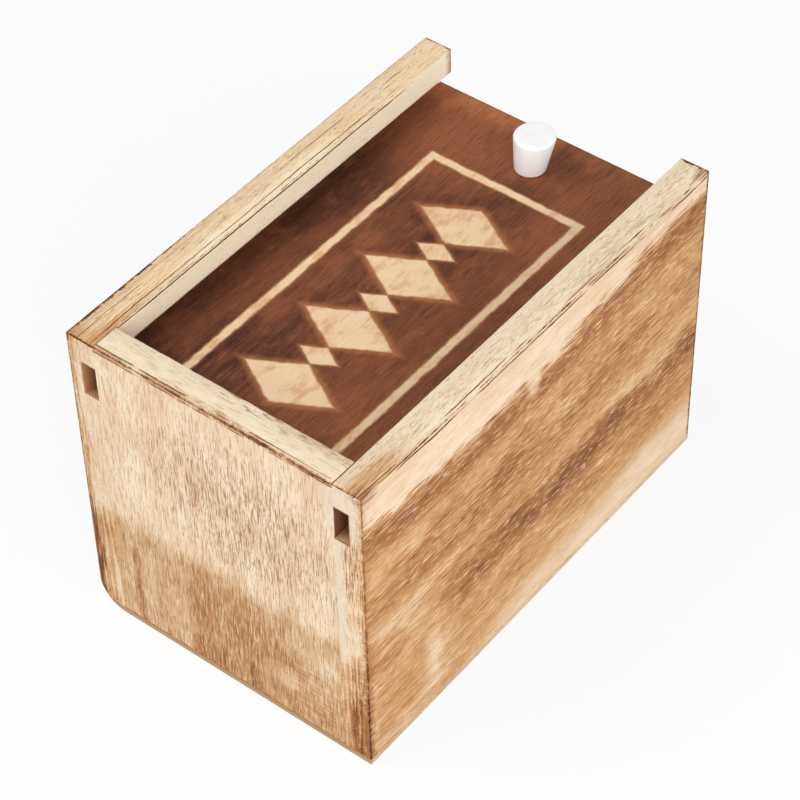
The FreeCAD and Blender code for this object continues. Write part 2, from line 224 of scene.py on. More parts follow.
def rub_back(piece, depth, patch, spare):
    """Wear the slanting faces along the arrises unevenly, inwards only, apart from spared places."""
    let_go()
    worn = set()
    for face in piece.data.polygons:
        slanting = max(abs(part) for part in face.normal) < SLANTING
        if slanting and not spare(face.center / MM):
            worn.update(face.vertices)
    group = piece.vertex_groups.new(name="arris")
    group.add(list(worn), 1.0, "REPLACE")
    rub = bpy.data.textures.new(piece.name + "_rub", "CLOUDS")
    rub.noise_depth = 2
    roughen(piece, rub, patch, depth, 1.0, group.name)
    piece.vertex_groups.clear()


def smooth(piece, degrees=40):
    take_up(piece)
    bpy.ops.object.shade_smooth_by_angle(angle=math.radians(degrees))


def finish_mesh(piece):
    """Merge doubles and point the faces outwards."""
    edit(piece)
    bpy.ops.mesh.select_all(action="SELECT")
    bpy.ops.mesh.remove_doubles(threshold=DOUBLES * MM)
    bpy.ops.mesh.normals_make_consistent(inside=False)
    if bmesh.from_edit_mesh(piece.data).calc_volume(signed=True) < 0:
        bpy.ops.mesh.flip_normals()
    bpy.ops.object.mode_set(mode="OBJECT")


# The box's boards
ARRIS = 0.16
JOINT = 0.05
WEAR = 0.08
WEAR_PATCH = 1.2
SIDE_CUTS = 84
SIDE_LEVELS = 55
END_CUTS_ACROSS = 43
END_CUTS_UP = 50
BASE_CUTS = 60
BASE_ARRIS = 0.1
ROUND_STEPS = 12


def round_corner():
    """Round the lower left edge, which the left panel and the bottom board share."""
    soften(lambda at: near(at.y, BOX_SIDE) and near(at.z, 0), CORNER_ROUND, ROUND_STEPS)


def ease_edges(piece, at_joint):
    """Soften a board's edges, barely where it meets another board, and wear them."""
    soften(lambda at: not at_joint(at), ARRIS)
    soften(at_joint, JOINT, 1)
    finish_mesh(piece)
    rub_back(piece, WEAR, WEAR_PATCH, at_joint)
    smooth(piece)


def side_board(name, side):
    """A side panel: an outer board with two thicker parts that leave the lid groove between them."""
    web = sorted((side * BOX_SIDE, side * GROOVE_DEEP_Y))
    rounded = side > 0
    bottom = 0.0 if rounded else BOARD_TOP
    piece = block(name, (-BOX_END, web[0], bottom), (BOX_END, web[1], BOX_TOP))
    edit(piece)
    slice_at(Z, GROOVE_LOW)
    slice_at(Z, GROOVE_HIGH)

    def beside_groove(face):
        inside = face.normal.y * side < -FACING
        height = middle_of(face).z
        return inside and not GROOVE_LOW < height < GROOVE_HIGH

    mark("FACE", beside_groove)
    lip = side * (WALL_INSIDE_Y - GROOVE_DEEP_Y) * MM
    bpy.ops.mesh.extrude_region_move(TRANSFORM_OT_translate={"value": (0, lip, 0)})
    bpy.ops.mesh.select_all(action="SELECT")
    bpy.ops.mesh.dissolve_limited(angle_limit=math.radians(1))
    if rounded:
        round_corner()
        slice_at(Z, BOARD_TOP, clear_below=True)

    def at_joint(at):
        beside_wall = near(abs(at.y), WALL_INSIDE_Y) and near(at.x, -BOX_END)
        return beside_wall or near(at.z, BOARD_TOP)

    divide(X, SIDE_CUTS)
    for level in range(1, SIDE_LEVELS):
        slice_at(Z, BOARD_TOP + (BOX_TOP - BOARD_TOP) * level / SIDE_LEVELS)
    ease_edges(piece, at_joint)
    return piece


def end_board(name, end, top):
    """An end wall between the side panels."""
    along = sorted((end * BOX_END, end * WALL_INSIDE_X))
    piece = block(name, (along[0], -WALL_INSIDE_Y, BOARD_TOP), (along[1], WALL_INSIDE_Y, top))
    edit(piece)
    divide(Y, END_CUTS_ACROSS)
    divide(Z, END_CUTS_UP)

    def at_joint(at):
        return near(abs(at.y), WALL_INSIDE_Y) or near(at.z, BOARD_TOP)

    ease_edges(piece, at_joint)
    return piece


def bottom_sheet(name):
    """The thin board under the walls, with the same rounded edge as the left panel."""
    piece = block(name, (-BOX_END, -BOX_SIDE, 0), (BOX_END, BOX_SIDE, 2 * CORNER_ROUND))
    edit(piece)
    round_corner()
    slice_at(Z, BOARD_TOP, clear_above=True)
    divide(X, BASE_CUTS)
    soften(anywhere, BASE_ARRIS, 1)
    finish_mesh(piece)
    smooth(piece)
    return piece


# The lid and its peg
LID_CUTS_ALONG = 70
LID_CUTS_ACROSS = 42
LID_ARRIS = 0.14
LID_WEAR = 0.05
LID_WEAR_PATCH = 1.5
DRILL_LENGTH = 12
DRILL_FACETS = 48
DRILL_HEIGHT = 50
PEG_FACETS = 96
PEG_BASE = 5.1
PEG_WIDE = 6.9
PEG_FOOT = 51.4
PEG_TOP = 57.4
PEG_FOOT_X = PEG_X - 0.85
PEG_TOP_X = PEG_X + 0.3
PEG_RIM = 1.0
PEG_DISH = 1.2
PEG_DISH_DEPTH = 0.04
SPIGOT = 3.2
SPIGOT_SHORT = 0.2
SPIGOT_ROUND = 0.3
RIM_ROUND = 0.45
RIM_STEPS = 5


def lid_board(name):
    """The sliding lid, with a bored hole for the peg's spigot."""
    piece = block(name, LID_LOW, LID_HIGH)
    edit(piece)
    divide(X, LID_CUTS_ALONG)
    divide(Y, LID_CUTS_ACROSS)
    soften(anywhere, LID_ARRIS)
    finish_mesh(piece)
    rub_back(piece, LID_WEAR, LID_WEAR_PATCH, lambda at: False)
    drill = rod("drill", SPIGOT, DRILL_LENGTH, (PEG_FOOT_X, 0, DRILL_HEIGHT), DRILL_FACETS)
    apply(piece, "BOOLEAN", object=drill, operation="DIFFERENCE", solver="EXACT")
    bpy.data.objects.remove(drill)
    finish_mesh(piece)
    smooth(piece)
    return piece


def pull_peg(name):
    """The white peg: wider at the top, leaning a little, both rims rounded, with a spigot below."""
    middle = (PEG_FOOT_X, 0, (PEG_TOP + PEG_FOOT) / 2)
    piece = rod(name, PEG_BASE, PEG_TOP - PEG_FOOT, middle, PEG_FACETS)
    edit(piece)
    mark("FACE", lambda face: face.normal.z > FACING)
    bpy.ops.transform.translate(value=((PEG_TOP_X - PEG_FOOT_X) * MM, 0, 0))
    wider = PEG_WIDE / PEG_BASE
    centre = (PEG_TOP_X * MM, 0, PEG_TOP * MM)
    bpy.ops.transform.resize(value=(wider, wider, 1), center_override=centre)
    bpy.ops.mesh.inset(thickness=PEG_RIM * MM)
    bpy.ops.mesh.inset(thickness=PEG_DISH * MM)
    bpy.ops.transform.translate(value=(0, 0, -PEG_DISH_DEPTH * MM))
    mark("FACE", lambda face: face.normal.z < -FACING)
    bpy.ops.mesh.inset(thickness=(PEG_BASE - SPIGOT) / 2 * MM)
    spigot = (PEG_FOOT - LID_LOW[2] - SPIGOT_SHORT) * MM
    bpy.ops.mesh.extrude_region_move(TRANSFORM_OT_translate={"value": (0, 0, -spigot)})
    soften(lambda at: near(at.z, PEG_TOP, 0.02) or near(at.z, PEG_FOOT), RIM_ROUND, RIM_STEPS)
    soften(lambda at: at.z < PEG_FOOT - 1, SPIGOT_ROUND)
    finish_mesh(piece)
    smooth(piece, 30)
    return piece


# The spring
SPRING_WIRE = 1.2
SPRING_RADIUS = 4.0
SPRING_PITCH = 1.35
SPRING_TURNS = 6.738
SPRING_INNER_Y = 7.6
SPRING_OUTER_Y = SPRING_INNER_Y + SPRING_PITCH * SPRING_TURNS
SPRING_START = -2.536
SPRING_FOOT = (36.6, SPRING_OUTER_Y, 8.0)
HOOK_X = 21.86
HOOK_Z = 15.02
HOOK_END_Y = -2.5
HOOK_BEND = 2.0
POINTS_PER_TURN = 28
BEND_STEPS = 6
TUBE_FACETS = 4


def tube(name, kind, radius, knots):
    """A round tube with closed ends. Each knot is a place and a share of the radius."""
    line = bpy.data.curves.new(name, "CURVE")
    line.dimensions = "3D"
    line.bevel_depth = radius * MM
    line.bevel_resolution = TUBE_FACETS
    line.use_fill_caps = True
    run = line.splines.new(kind)
    run.points.add(len(knots) - 1)
    for knot, (place, share) in zip(run.points, knots):
        knot.co = [part * MM for part in place] + [1]
        knot.radius = share
    if kind == "NURBS":
        run.order_u = 3
        run.use_endpoint_u = True
    piece = bpy.data.objects.new(name, line)
    bpy.context.scene.collection.objects.link(piece)
    take_up(piece)
    bpy.ops.object.convert(target="MESH")
    return bpy.context.object


def coil_point(turn):
    """A point on the coil's centre line, so many turns from the foot."""
    angle = SPRING_START - turn * 2 * math.pi
    across = SPRING_OUTER_Y - turn * SPRING_PITCH
    return (
        AXLE_X + SPRING_RADIUS * math.cos(angle),
        across,
        AXLE_Z + SPRING_RADIUS * math.sin(angle),
    )


def coil_spring(name):
    """The torsion spring: a straight foot, the coil, and a leg bent into a hook under the arm."""
    steps = round(SPRING_TURNS * POINTS_PER_TURN)
    points = [SPRING_FOOT]
    points += [coil_point(SPRING_TURNS * step / steps) for step in range(steps + 1)]
    leaves = Vector(points[-1])
    corner = Vector((HOOK_X, SPRING_INNER_Y, HOOK_Z))
    come = (corner - leaves).normalized()
    go = Vector((0, -1, 0))
    for step in range(BEND_STEPS + 1):
        share = step / BEND_STEPS
        begin = corner - come * HOOK_BEND * (1 - share)
        end = corner + go * HOOK_BEND * share
        points.append(begin.lerp(end, share))
    points.append((HOOK_X, HOOK_END_Y, HOOK_Z))
    piece = tube(name, "POLY", SPRING_WIRE / 2, [(point, 1.0) for point in points])
    finish_mesh(piece)
    smooth(piece, 50)
    return piece


# The spider, with its head towards -X
THORAX = Vector((-16.0, 0.0, 9.0))
ABDOMEN = Vector((-4.7, 0.0, 9.0))
# Lumps: where each is from the middle of the thorax or the abdomen, and its three radii
BODY_LUMPS = (
    ("head", THORAX, (-4.2, 0, 0.5), (2.9, 2.7, 2.5)),
    ("waist", THORAX, (6.0, 0, 0), (2.4, 1.6, 1.6)),
    ("abdomen", ABDOMEN, (0, 0, 0), (8.0, 5.7, 5.5)),
    ("abdomen_crown", ABDOMEN, (-1.5, 0, 1.4), (5.4, 4.6, 4.3)),
)
PAIRED_LUMPS = (
    ("front_eye", THORAX, (-6.5, 0.75, 1.5), (0.62, 0.62, 0.62)),
    ("side_eye", THORAX, (-5.9, 1.75, 1.55), (0.48, 0.48, 0.48)),
    ("upper_eye", THORAX, (-5.3, 0.9, 2.55), (0.5, 0.5, 0.5)),
    ("jaw", THORAX, (-6.3, 1.05, -1.1), (1.2, 0.95, 1.8)),
    ("fang", THORAX, (-6.7, 0.75, -2.9), (0.42, 0.4, 1.0)),
    ("spinneret", ABDOMEN, (7.4, 1.6, -1.2), (1.2, 0.6, 0.6)),
)
LEG_ANGLES = (38, 72, 108, 142)
# A limb from hip to tip: how far out, how high above the body's middle, and how thick
LEG_SHAPE = (
    (1.2, -0.4, 1.5),
    (3.4, 0.6, 1.35),
    (5.6, 2.2, 1.3),
    (8.4, 4.3, 1.15),
    (9.8, 5.2, 0.85),
    (11.0, 5.5, 1.1),
    (12.2, 4.2, 0.8),
    (13.4, 2.0, 1.05),
    (14.8, -0.2, 0.95),
    (15.9, -1.8, 0.7),
    (16.8, -3.2, 0.85),
    (17.9, -4.8, 0.55),
    (18.5, -5.6, 0.65),
    (19.2, -6.5, 0.3),
)
FEELER_SHAPE = (
    (3.4, -0.8, 1.0),
    (5.4, -0.2, 1.0),
    (7.2, 0.6, 0.9),
    (8.4, 0.5, 0.7),
    (9.4, -0.8, 0.85),
    (10.2, -2.4, 0.75),
    (10.5, -3.2, 0.4),
)
FEELER_ANGLE = 20
MOULD_GRAIN = 0.24
SKIN_DEPTH = 0.35
SKIN_LEVEL = 0.6
SKIN_GRAIN = 1.1


def lump(name, base, offset, radii, side=1):
    """One rounded lump of the moulding, from a ball."""
    let_go()
    middle = base + Vector((offset[0], side * offset[1], offset[2]))
    bpy.ops.mesh.primitive_uv_sphere_add(
        segments=40,
        ring_count=24,
        radius=MM,
        location=[part * MM for part in middle],
        scale=radii,
    )
    return named(name)


def limb(name, shape):
    """A jointed limb that reaches out along +X from the body's middle, swelling between its joints."""
    return tube(name, "NURBS", 1.0, [((out, 0, up), radius) for out, up, radius in shape])


def copy_round(piece, angle, side):
    """A copy of a limb, turned about the body's middle."""
    take_up(piece)
    bpy.ops.object.duplicate(linked=False)
    copy = bpy.context.object
    turn = math.radians(180 - side * angle)
    copy.matrix_world = Matrix.Translation(THORAX * MM) @ Matrix.Rotation(turn, 4, "Z")
    bpy.ops.object.transform_apply(location=True, rotation=True, scale=True)
    return copy


def spider_moulding(name):
    """The rubber spider: body lumps, eyes, jaws, feelers and eight legs run into one moulding."""
    thorax = lump(name, THORAX, (0, 0, -0.2), (6.0, 4.3, 3.3))
    parts = [lump(*shape) for shape in BODY_LUMPS]
    for side in (-1, 1):
        parts += [lump(*shape, side) for shape in PAIRED_LUMPS]
    leg = limb("leg", LEG_SHAPE)
    feeler = limb("feeler", FEELER_SHAPE)
    for side in (-1, 1):
        parts += [copy_round(leg, angle, side) for angle in LEG_ANGLES]
        parts.append(copy_round(feeler, FEELER_ANGLE, side))
    bpy.data.objects.remove(leg)
    bpy.data.objects.remove(feeler)
    take_up(thorax)
    for part in parts:
        part.select_set(True)
    bpy.ops.object.join()
    apply(thorax, "REMESH", mode="VOXEL", voxel_size=MOULD_GRAIN * MM)
    apply(thorax, "SMOOTH", factor=0.5, iterations=5)
    skin = bpy.data.textures.new("skin", "STUCCI")
    skin.turbulence = 3
    roughen(thorax, skin, SKIN_GRAIN, SKIN_DEPTH, SKIN_LEVEL)
    take_up(thorax)
    bpy.ops.object.shade_smooth()
    return thorax


right_board = side_board("right_board", -1)
left_board = side_board("left_board", 1)
front_board = end_board("front_board", -1, BOX_TOP)
rear_board = end_board("rear_board", 1, GROOVE_LOW)
base_sheet = bottom_sheet("base_sheet")
lid_sheet = lid_board("lid_sheet")
peg = pull_peg("pull_peg")
spring = coil_spring("coil_spring")
spider = spider_moulding("spider_moulding")


# Finishes
class Value:
    """One output of a shader node, which can be used in sums."""

    def __init__(self, nodes, socket):
        self.nodes = nodes
        self.socket = socket

    def __add__(self, other):
        return self.nodes.sum("ADD", self, other)

    def __radd__(self, other):
        return self.nodes.sum("ADD", other, self)

    def __sub__(self, other):
        return self.nodes.sum("SUBTRACT", self, other)

    def __rsub__(self, other):
        return self.nodes.sum("SUBTRACT", other, self)

    def __mul__(self, other):
        return self.nodes.sum("MULTIPLY", self, other)

    def __rmul__(self, other):
        return self.nodes.sum("MULTIPLY", other, self)

    def __truediv__(self, other):
        return self.nodes.sum("DIVIDE", self, other)

    def __abs__(self):
        return self.nodes.sum("ABSOLUTE", self)


def colour(red, green, blue):
    """A colour from its 0 to 255 screen values."""
    shares = [part / 255 for part in (red, green, blue)]
    return [((s + 0.055) / 1.055) ** 2.4 if s > 0.04045 else s / 12.92 for s in shares] + [1.0]


class Nodes:
    """A tree of nodes, built from expressions."""

    def __init__(self, tree):
        self.tree = tree
        tree.nodes.clear()

    def add(self, kind, settings=None, sockets=None, out=0):
        """A node: its settings first, then its sockets' values or links. A last node has no out."""
        node = self.tree.nodes.new(kind)
        for key, value in (settings or {}).items():
            setattr(node, key, value)
        for key, value in (sockets or {}).items():
            if isinstance(value, Value):
                self.tree.links.new(value.socket, node.inputs[key])
            else:
                node.inputs[key].default_value = value
        return None if out is None else Value(self, node.outputs[out])

    def sum(self, operation, *terms):
        return self.add("ShaderNodeMath", {"operation": operation}, dict(enumerate(terms)))

    def least(self, one, other):
        return self.sum("MINIMUM", one, other)

    def most(self, one, other):
        return self.sum("MAXIMUM", one, other)

    def strongest(self, *amounts):
        """The most of several amounts."""
        top = amounts[0]
        for amount in amounts[1:]:
            top = self.most(top, amount)
        return top

    def background_ray(self):
        """1 for rays that see the white background, straight or by way of metal or glass."""
        kinds = ("Is Camera Ray", "Is Glossy Ray", "Is Transmission Ray")
        return self.strongest(*[self.add("ShaderNodeLightPath", out=kind) for kind in kinds])


class Finish(Nodes):
    """One material, built from nodes."""

    def __init__(self, name):
        self.material = bpy.data.materials.new(name)
        self.material.use_nodes = True
        super().__init__(self.material.node_tree)
        self.place = self.add("ShaderNodeTexCoord", out="Object")
        in_mm = self.add("ShaderNodeMapping", None, {"Vector": self.place, "Scale": [1 / MM] * 3})
        apart = [self.add("ShaderNodeSeparateXYZ", None, {0: in_mm}, out=axis) for axis in (X, Y, Z)]
        self.x, self.y, self.z = apart

    def step(self, value, low, high):
        """0 at low, 1 at high, smooth between."""
        sockets = {"Value": value, "From Min": low, "From Max": high}
        return self.add("ShaderNodeMapRange", {"interpolation_type": "SMOOTHSTEP"}, sockets)

    def band(self, value, centre, core, fade):
        """1 within core of the centre, 0 beyond fade."""
        return self.step(abs(value - centre), fade, core)

    def patch(self, u, v, middle, radii, soft=0.5):
        """1 in the middle of an oval patch, 0 outside it."""
        across = (u - middle[0]) / radii[0]
        down = (v - middle[1]) / radii[1]
        reach = self.sum("SQRT", across * across + down * down)
        return self.step(reach, 1 + soft, 1 - soft)

    def noise(self, grains, seed, detail=2.0, rough=0.5):
        """Noise with so many grains a millimetre along each axis."""
        scale = [part / MM for part in grains]
        shift = (seed * 1.7, seed * 3.1, seed * 2.3)
        moved = {"Vector": self.place, "Location": shift, "Scale": scale}
        at = self.add("ShaderNodeMapping", None, moved)
        sockets = {"Vector": at, "Scale": 1.0, "Detail": detail, "Roughness": rough}
        return self.add("ShaderNodeTexNoise", None, sockets)

    def mix(self, share, one, other):
        sockets = {0: share, 6: one, 7: other}
        return self.add("ShaderNodeMix", {"data_type": "RGBA"}, sockets, out=2)

    def close(self, base, rough, height, depth, strength, fixed=None):
        """Join everything to the surface shader. Depth is the bump's, in millimetres."""
        relief = {"Height": height, "Distance": depth * MM, "Strength": strength}
        bump = self.add("ShaderNodeBump", None, relief)
        sockets = {"Base Color": base, "Roughness": rough, "Normal": bump, **(fixed or {})}
        shader = self.add("ShaderNodeBsdfPrincipled", None, sockets)
        self.add("ShaderNodeOutputMaterial", None, {"Surface": shader}, out=None)
        return self.material


CREAM = colour(246, 226, 199)
PINK_CREAM = colour(236, 208, 179)
STRAW = colour(227, 192, 149)
TAN = colour(208, 160, 109)
DULL_TAN = colour(207, 168, 126)
BROWN = colour(164, 108, 60)
DASH_BROWN = colour(132, 84, 50)
INNER_CREAM = colour(255, 242, 213)
RAIL_CREAM = colour(248, 219, 174)
DARK_BROWN = colour(104, 62, 35)
CHAR = colour(46, 28, 19)
RED_BURN = colour(136, 70, 42)
HOLE_BROWN = colour(116, 62, 26)
WHITE_WOOD = colour(229, 213, 193)
FLECK = colour(241, 212, 172)
SPECK = colour(190, 144, 94)
RAW_EDGE = colour(164, 134, 98)

# How many strokes of the fibres there are a millimetre, across them
END_STROKES = 4.4
SIDE_STROKES = 3.3
# A face's mask starts at the first of these depths under the face and is whole at the second
FACE_STARTS = 0.25
FACE_WHOLE = 0.1


def along_axis(axis, lengthwise, across):
    """Grain counts a millimetre for fibres that run along one axis."""
    counts = [across, across, across]
    counts[axis] = lengthwise
    return counts


class Wood(Finish):
    """Pale torched wood: fibres along one axis, short dark dashes, and scorch in named places."""

    def __init__(self, name, axis, seed, strokes=END_STROKES, tan=TAN):
        super().__init__(name)
        self.tan = tan
        fibre = self.noise(along_axis(axis, 0.12, 6.0), seed, 2, 0.6)
        hatch = self.noise(along_axis(axis, 0.3, strokes), seed + 3, 2, 0.55)
        scratch = self.noise(along_axis(axis, 0.4, strokes * 0.9), seed + 7, 2, 0.55)
        streak = self.noise(along_axis(axis, 0.03, 0.6), seed + 5, 3, 0.6)
        self.fibre = self.step(fibre, 0.3, 0.7)
        self.hatch = self.step(hatch, 0.36, 0.66)
        self.dash = self.step(hatch, 0.52, 0.62)
        self.scratch = self.step(scratch, 0.53, 0.65)
        self.streak = self.step(streak, 0.32, 0.68)
        self.pore = self.noise(along_axis(axis, 0.6, 5.0), seed + 9, 1, 0.5)
        self.blotch = self.noise(along_axis(axis, 0.08, 0.17), seed + 13, 4, 0.6)
        self.chip = self.noise((1.1, 1.1, 1.1), seed + 23, 3, 0.6)
        self.depth = BOX_TOP - self.z

    def top_face(self):
        return self.step(self.z, BOX_TOP - FACE_STARTS, BOX_TOP - FACE_WHOLE)

    def near_end(self):
        return self.step(self.x, FACE_STARTS - BOX_END, FACE_WHOLE - BOX_END)

    def far_end(self):
        return self.step(self.x, BOX_END - FACE_STARTS, BOX_END - FACE_WHOLE)

    def ragged(self, amount):
        """Uneven shifts, in millimetres, for the edges of scorched places."""
        shift = (self.blotch - 0.5) * 3.4 + (self.hatch - 0.5) * 0.7 + (self.streak - 0.5) * 0.3
        return shift * amount

    def bare(self):
        """The wood before scorching."""
        pale = self.mix(self.step(self.blotch, 0.4, 0.62), CREAM, PINK_CREAM)
        banded = self.mix(self.streak * 0.35, pale, STRAW)
        return self.mix(self.fibre * 0.14 + self.dash * 0.3, banded, TAN)

    def banded(self, bands, below):
        """Scorch bands made blotchy, and cut off above the line where below is 0."""
        return (bands + (self.blotch - 0.5) * 0.4) * self.step(below, -1.8, 2.4)

    def scorched(self, base, scorch):
        """Scorch from 0, none, to 1.5, nearly black, taken up unevenly by the fibres."""
        uneven = 0.72 + (self.blotch - 0.5) * 1.3 + self.dash * 0.4 + self.streak * 0.2
        taken = scorch * (uneven - self.scratch * 0.28)
        tanned = self.mix(self.step(taken, 0.0, 0.45), base, self.tan)
        browned = self.mix(self.step(taken, 0.3, 0.9), tanned, BROWN)
        return self.mix(self.step(taken, 0.85, 1.45), browned, DARK_BROWN)

    def speckled(self, base, density, dark=0.5):
        """Dark pores, more of them where density is higher."""
        pores = self.step(self.pore + density * 0.2, 0.68, 0.78)
        return self.mix(pores * dark, base, DASH_BROWN)

    def scratched(self, base, amount):
        """Light flecks where the scorch didn't take."""
        return self.mix(self.scratch * amount, base, FLECK)

    def edge_line(self, one, other, width, strength):
        """How burnt an edge is, as a ragged line along it, from the distances to its two faces."""
        reach = self.most(one, other) / width - (self.chip - 0.45) * 1.8 - (self.hatch - 0.5) * 0.3
        return self.step(reach, 1.0, 0.0) * strength

    def burn(self, base, amount):
        """From a brown halo to black."""
        brown = self.mix(self.step(amount, 0.0, 0.45), base, BROWN)
        dark = self.mix(self.step(amount, 0.35, 0.75), brown, DARK_BROWN)
        return self.mix(self.step(amount, 0.65, 1.0), dark, CHAR)

    def crack(self, across, centre, width, sway, gaps):
        """A thin dark line that wanders along the grain and breaks off where gaps is low."""
        wander = ((self.chip - 0.5) * 0.4 + (self.blotch - 0.5) * 2.0) * sway
        return self.step(abs(across - centre + wander), width, width * 0.3) * self.step(gaps, 0.4, 0.56)

    def dots(self, seed):
        """Short close marks, as open pores show on a planed edge."""
        return self.step(self.noise((0.8, 5.2, 5.2), seed, 2, 0.55), 0.47, 0.62)

    def upright_dashes(self, seed):
        """Short upright dashes, for the ends of boards whose fibres run the other way."""
        return self.step(self.noise((5.0, 5.0, 0.3), seed, 2, 0.55), 0.52, 0.62)

    def upright_streaks(self, across, lengthwise, seed):
        """Long upright streaks, for the same ends."""
        return self.step(self.noise((across, across, lengthwise), seed, 3, 0.6), 0.3, 0.7)

    def far_scorch(self, upright, start, far_end):
        """Scorch low on a panel's far end, which runs up its streaks."""
        return self.step(self.depth + upright * 14, start, start + 20) * (0.2 + upright * 0.6) * far_end

    def groove_mouth_shade(self, end, fade):
        """The first few millimetres of a groove, behind the near end: the mask for painted shade in the
        hole.
        """
        return self.step(self.x, -35, -38) * (1 - end) * self.band(self.depth, MOUTH_DEPTH, 3.1, fade)

    def groove_rim(self, side, end):
        """A narrow frame round a groove's mouth."""
        tall = self.band(self.depth, MOUTH_DEPTH, MOUTH_HALF_HIGH, 3.5)
        return tall * self.band(self.y, side * MOUTH_Y, MOUTH_HALF_WIDE, 1.75) * end

    def surface(self, base):
        height = self.fibre * 0.4 + self.hatch * 0.6 - self.step(self.pore, 0.6, 0.75) * 0.5
        rough = 0.66 + self.fibre * 0.16
        return self.close(base, rough, height, 0.07, 0.6, {"Specular IOR Level": 0.25})


def right_panel_wood():
    """Fibres along the box. A pale band on top, then scorch bands, and a pale far bottom corner."""
    wood = Wood("right_panel_wood", X, 3, SIDE_STROKES)
    x, y, depth = wood.x, wood.y, wood.depth
    step, band, patch, mix, most = wood.step, wood.band, wood.patch, wood.mix, wood.most
    down = depth + wood.ragged(1.8)
    pale_band = 8.4 - step(x, 0, 12) * 2.4 - step(x, 12, 42) * 2.4 - step(x, -34, -42) * 2.6
    below = down - pale_band

    # Dark and light bands, from the top down
    upper = band(below, 2.6, 1.0, 5.0)
    upper_gap = band(down, 19.4, 1.6, 4.4) * step(x, 22, -4)
    second = band(down, 24.0, 1.5, 7.0) * (1 - step(x, 0, 16) * 0.6 - step(x, -24, -38) * 0.5)
    light_gap = band(down, 30.2, 0.5, 3.2)
    third_down = down + step(x, 4, 20) * 1.6 - step(x, -8, -22) * 1.8
    third = band(third_down, 37.2, 1.4, 5.0) * step(x, -27, -13)
    lower = step(down, 40, 46)
    far_shade = band(down, 43, 1.5, 5.5) * step(x, -2, 12)
    foot_down = down + step(x, -18, 2) * 2.4 + step(x, 2, 42) * 2.2
    foot = step(foot_down, 51, 58.5) * (0.06 + step(x, -32, -22) * 0.14 + step(x, -22, 4) * 0.28)

    # Paler places
    near_patch = patch(x, down, (-29.5, 43), (6, 14))
    near_pale = step(x, -20, -36) * step(down, 12, 18) * step(down, 46, 38)
    far_pale = step(x, 8, 28) * step(down, 12, 16) + patch(x, down, (40, 27.5), (6, 5)) * 2
    pale_streak = band(x + (wood.blotch - 0.5) * 6, -27, 0.4, 2.4)
    pale_streak = pale_streak * step(depth, 38, 45) * step(depth, 57, 51)
    drip = patch(x, depth, (-2.4, 9.4), (1.7, 3.0))

    scorch = 0.62 + upper * 0.4 + second * 0.28 - light_gap * 0.14 + third * 0.52
    scorch = scorch - upper_gap * 0.17 + far_shade * 0.16 - near_pale * 0.08
    scorch = scorch - lower * 0.12 - foot - near_patch * 0.12 - pale_streak * 0.18
    scorch = scorch - drip * 0.7 - far_pale * 0.07
    end, far_end, top = wood.near_end(), wood.far_end(), wood.top_face()
    inside = step(y, -26.6, -26.0)
    outside = (1 - end) * (1 - top) * (1 - inside)
    rail_near = step(x + wood.ragged(1.2), -21, -42) * (0.12 + step(y, -23.2, -25.0) * 0.3) * top
    rail_far = step(x + wood.ragged(2.0), 24, 41) * top * 0.06
    scorch = most(wood.banded(scorch, below), 0.0) * outside * (1 - far_end) + rail_near + rail_far

    # The near end shows upright streaks, white beside the joint and brown low down
    upright = wood.upright_streaks(2.4, 0.14, 41)
    dashes = wood.upright_dashes(43) * most(end, far_end)
    end_brown = step(depth + upright * 7, 35, 46) * (0.8 + step(y, -22.7, -23.9) * 0.2)
    end_low = step(depth + upright * 8, 47, 55) * step(y, -23.4, -24.6)
    end_fuzz = band(depth, 19, 5, 13) * step(y, -23.0, -24.4) * (0.5 + dashes)
    end_scorch = (end_brown * 0.62 + end_low * 0.75 + end_fuzz * 0.55) * end * (0.4 + upright * 0.9)
    white = step(y, -23.7, -22.9) * step(depth, 38, 30)
    white = most(white, step(y, -26.9, -25.7) * step(depth, 15, 9) * 0.8) * end

    base = mix(top * 0.45, wood.bare(), INNER_CREAM)
    rail_middle = band(y + wood.ragged(0.3), -24.6, 0.4, 2.0) * top
    base = mix(rail_middle * (0.04 + wood.dots(49) * 0.42), base, SPECK)
    base = mix(white * (0.8 - dashes * 0.2), base, WHITE_WOOD)
    base = wood.scorched(base, scorch + end_scorch + wood.far_scorch(upright, 26, far_end))
    marked = wood.least(scorch, 1.0)
    base = wood.scratched(base, marked * 0.5)
    dashed_zone = band(depth, 17, 4, 9) + step(depth, 34, 42)
    dash_share = 0.12 + step(y, -22.6, -24.0) * (0.16 + dashed_zone * 0.44)
    base = mix(dashes * dash_share, base, DASH_BROWN)
    base = mix(wood.dash * marked * 0.42, base, DASH_BROWN)
    base = wood.speckled(base, scorch * 0.5 + top * 0.3, 0.45)
    # Painted shade: the groove just inside its mouth is browned, darkening the hole.
    base = mix(wood.groove_mouth_shade(end, 3.2) * inside * 0.75, base, BROWN)

    # Torn and reddened places along the rail
    torn = patch(x, y + wood.ragged(0.3), (22.0, -26.3), (12.0, 1.2)) * top
    torn = most(torn, patch(x, depth, (26.0, 0.3), (8.0, 1.3)) * outside)
    base = mix(torn * (0.06 + wood.hatch * 0.44), base, BROWN)
    uneven_x = x + wood.ragged(0.3)
    far_corner = patch(uneven_x, y, (41.8, -26.8), (2.2, 1.2)) * top * (0.25 + wood.hatch * 0.7)
    near_corner = patch(uneven_x, y, (-42.2, -26.4), (2.4, 1.6)) * top
    near_corner = most(near_corner, patch(x, depth, (-41.8, 0.6), (2.4, 1.5)) * outside)
    near_corner = most(near_corner, patch(y, depth, (-26.6, 0.4), (1.8, 1.2)) * end)
    base = mix(most(far_corner, near_corner * (0.15 + wood.hatch * 0.6)), base, RED_BURN)

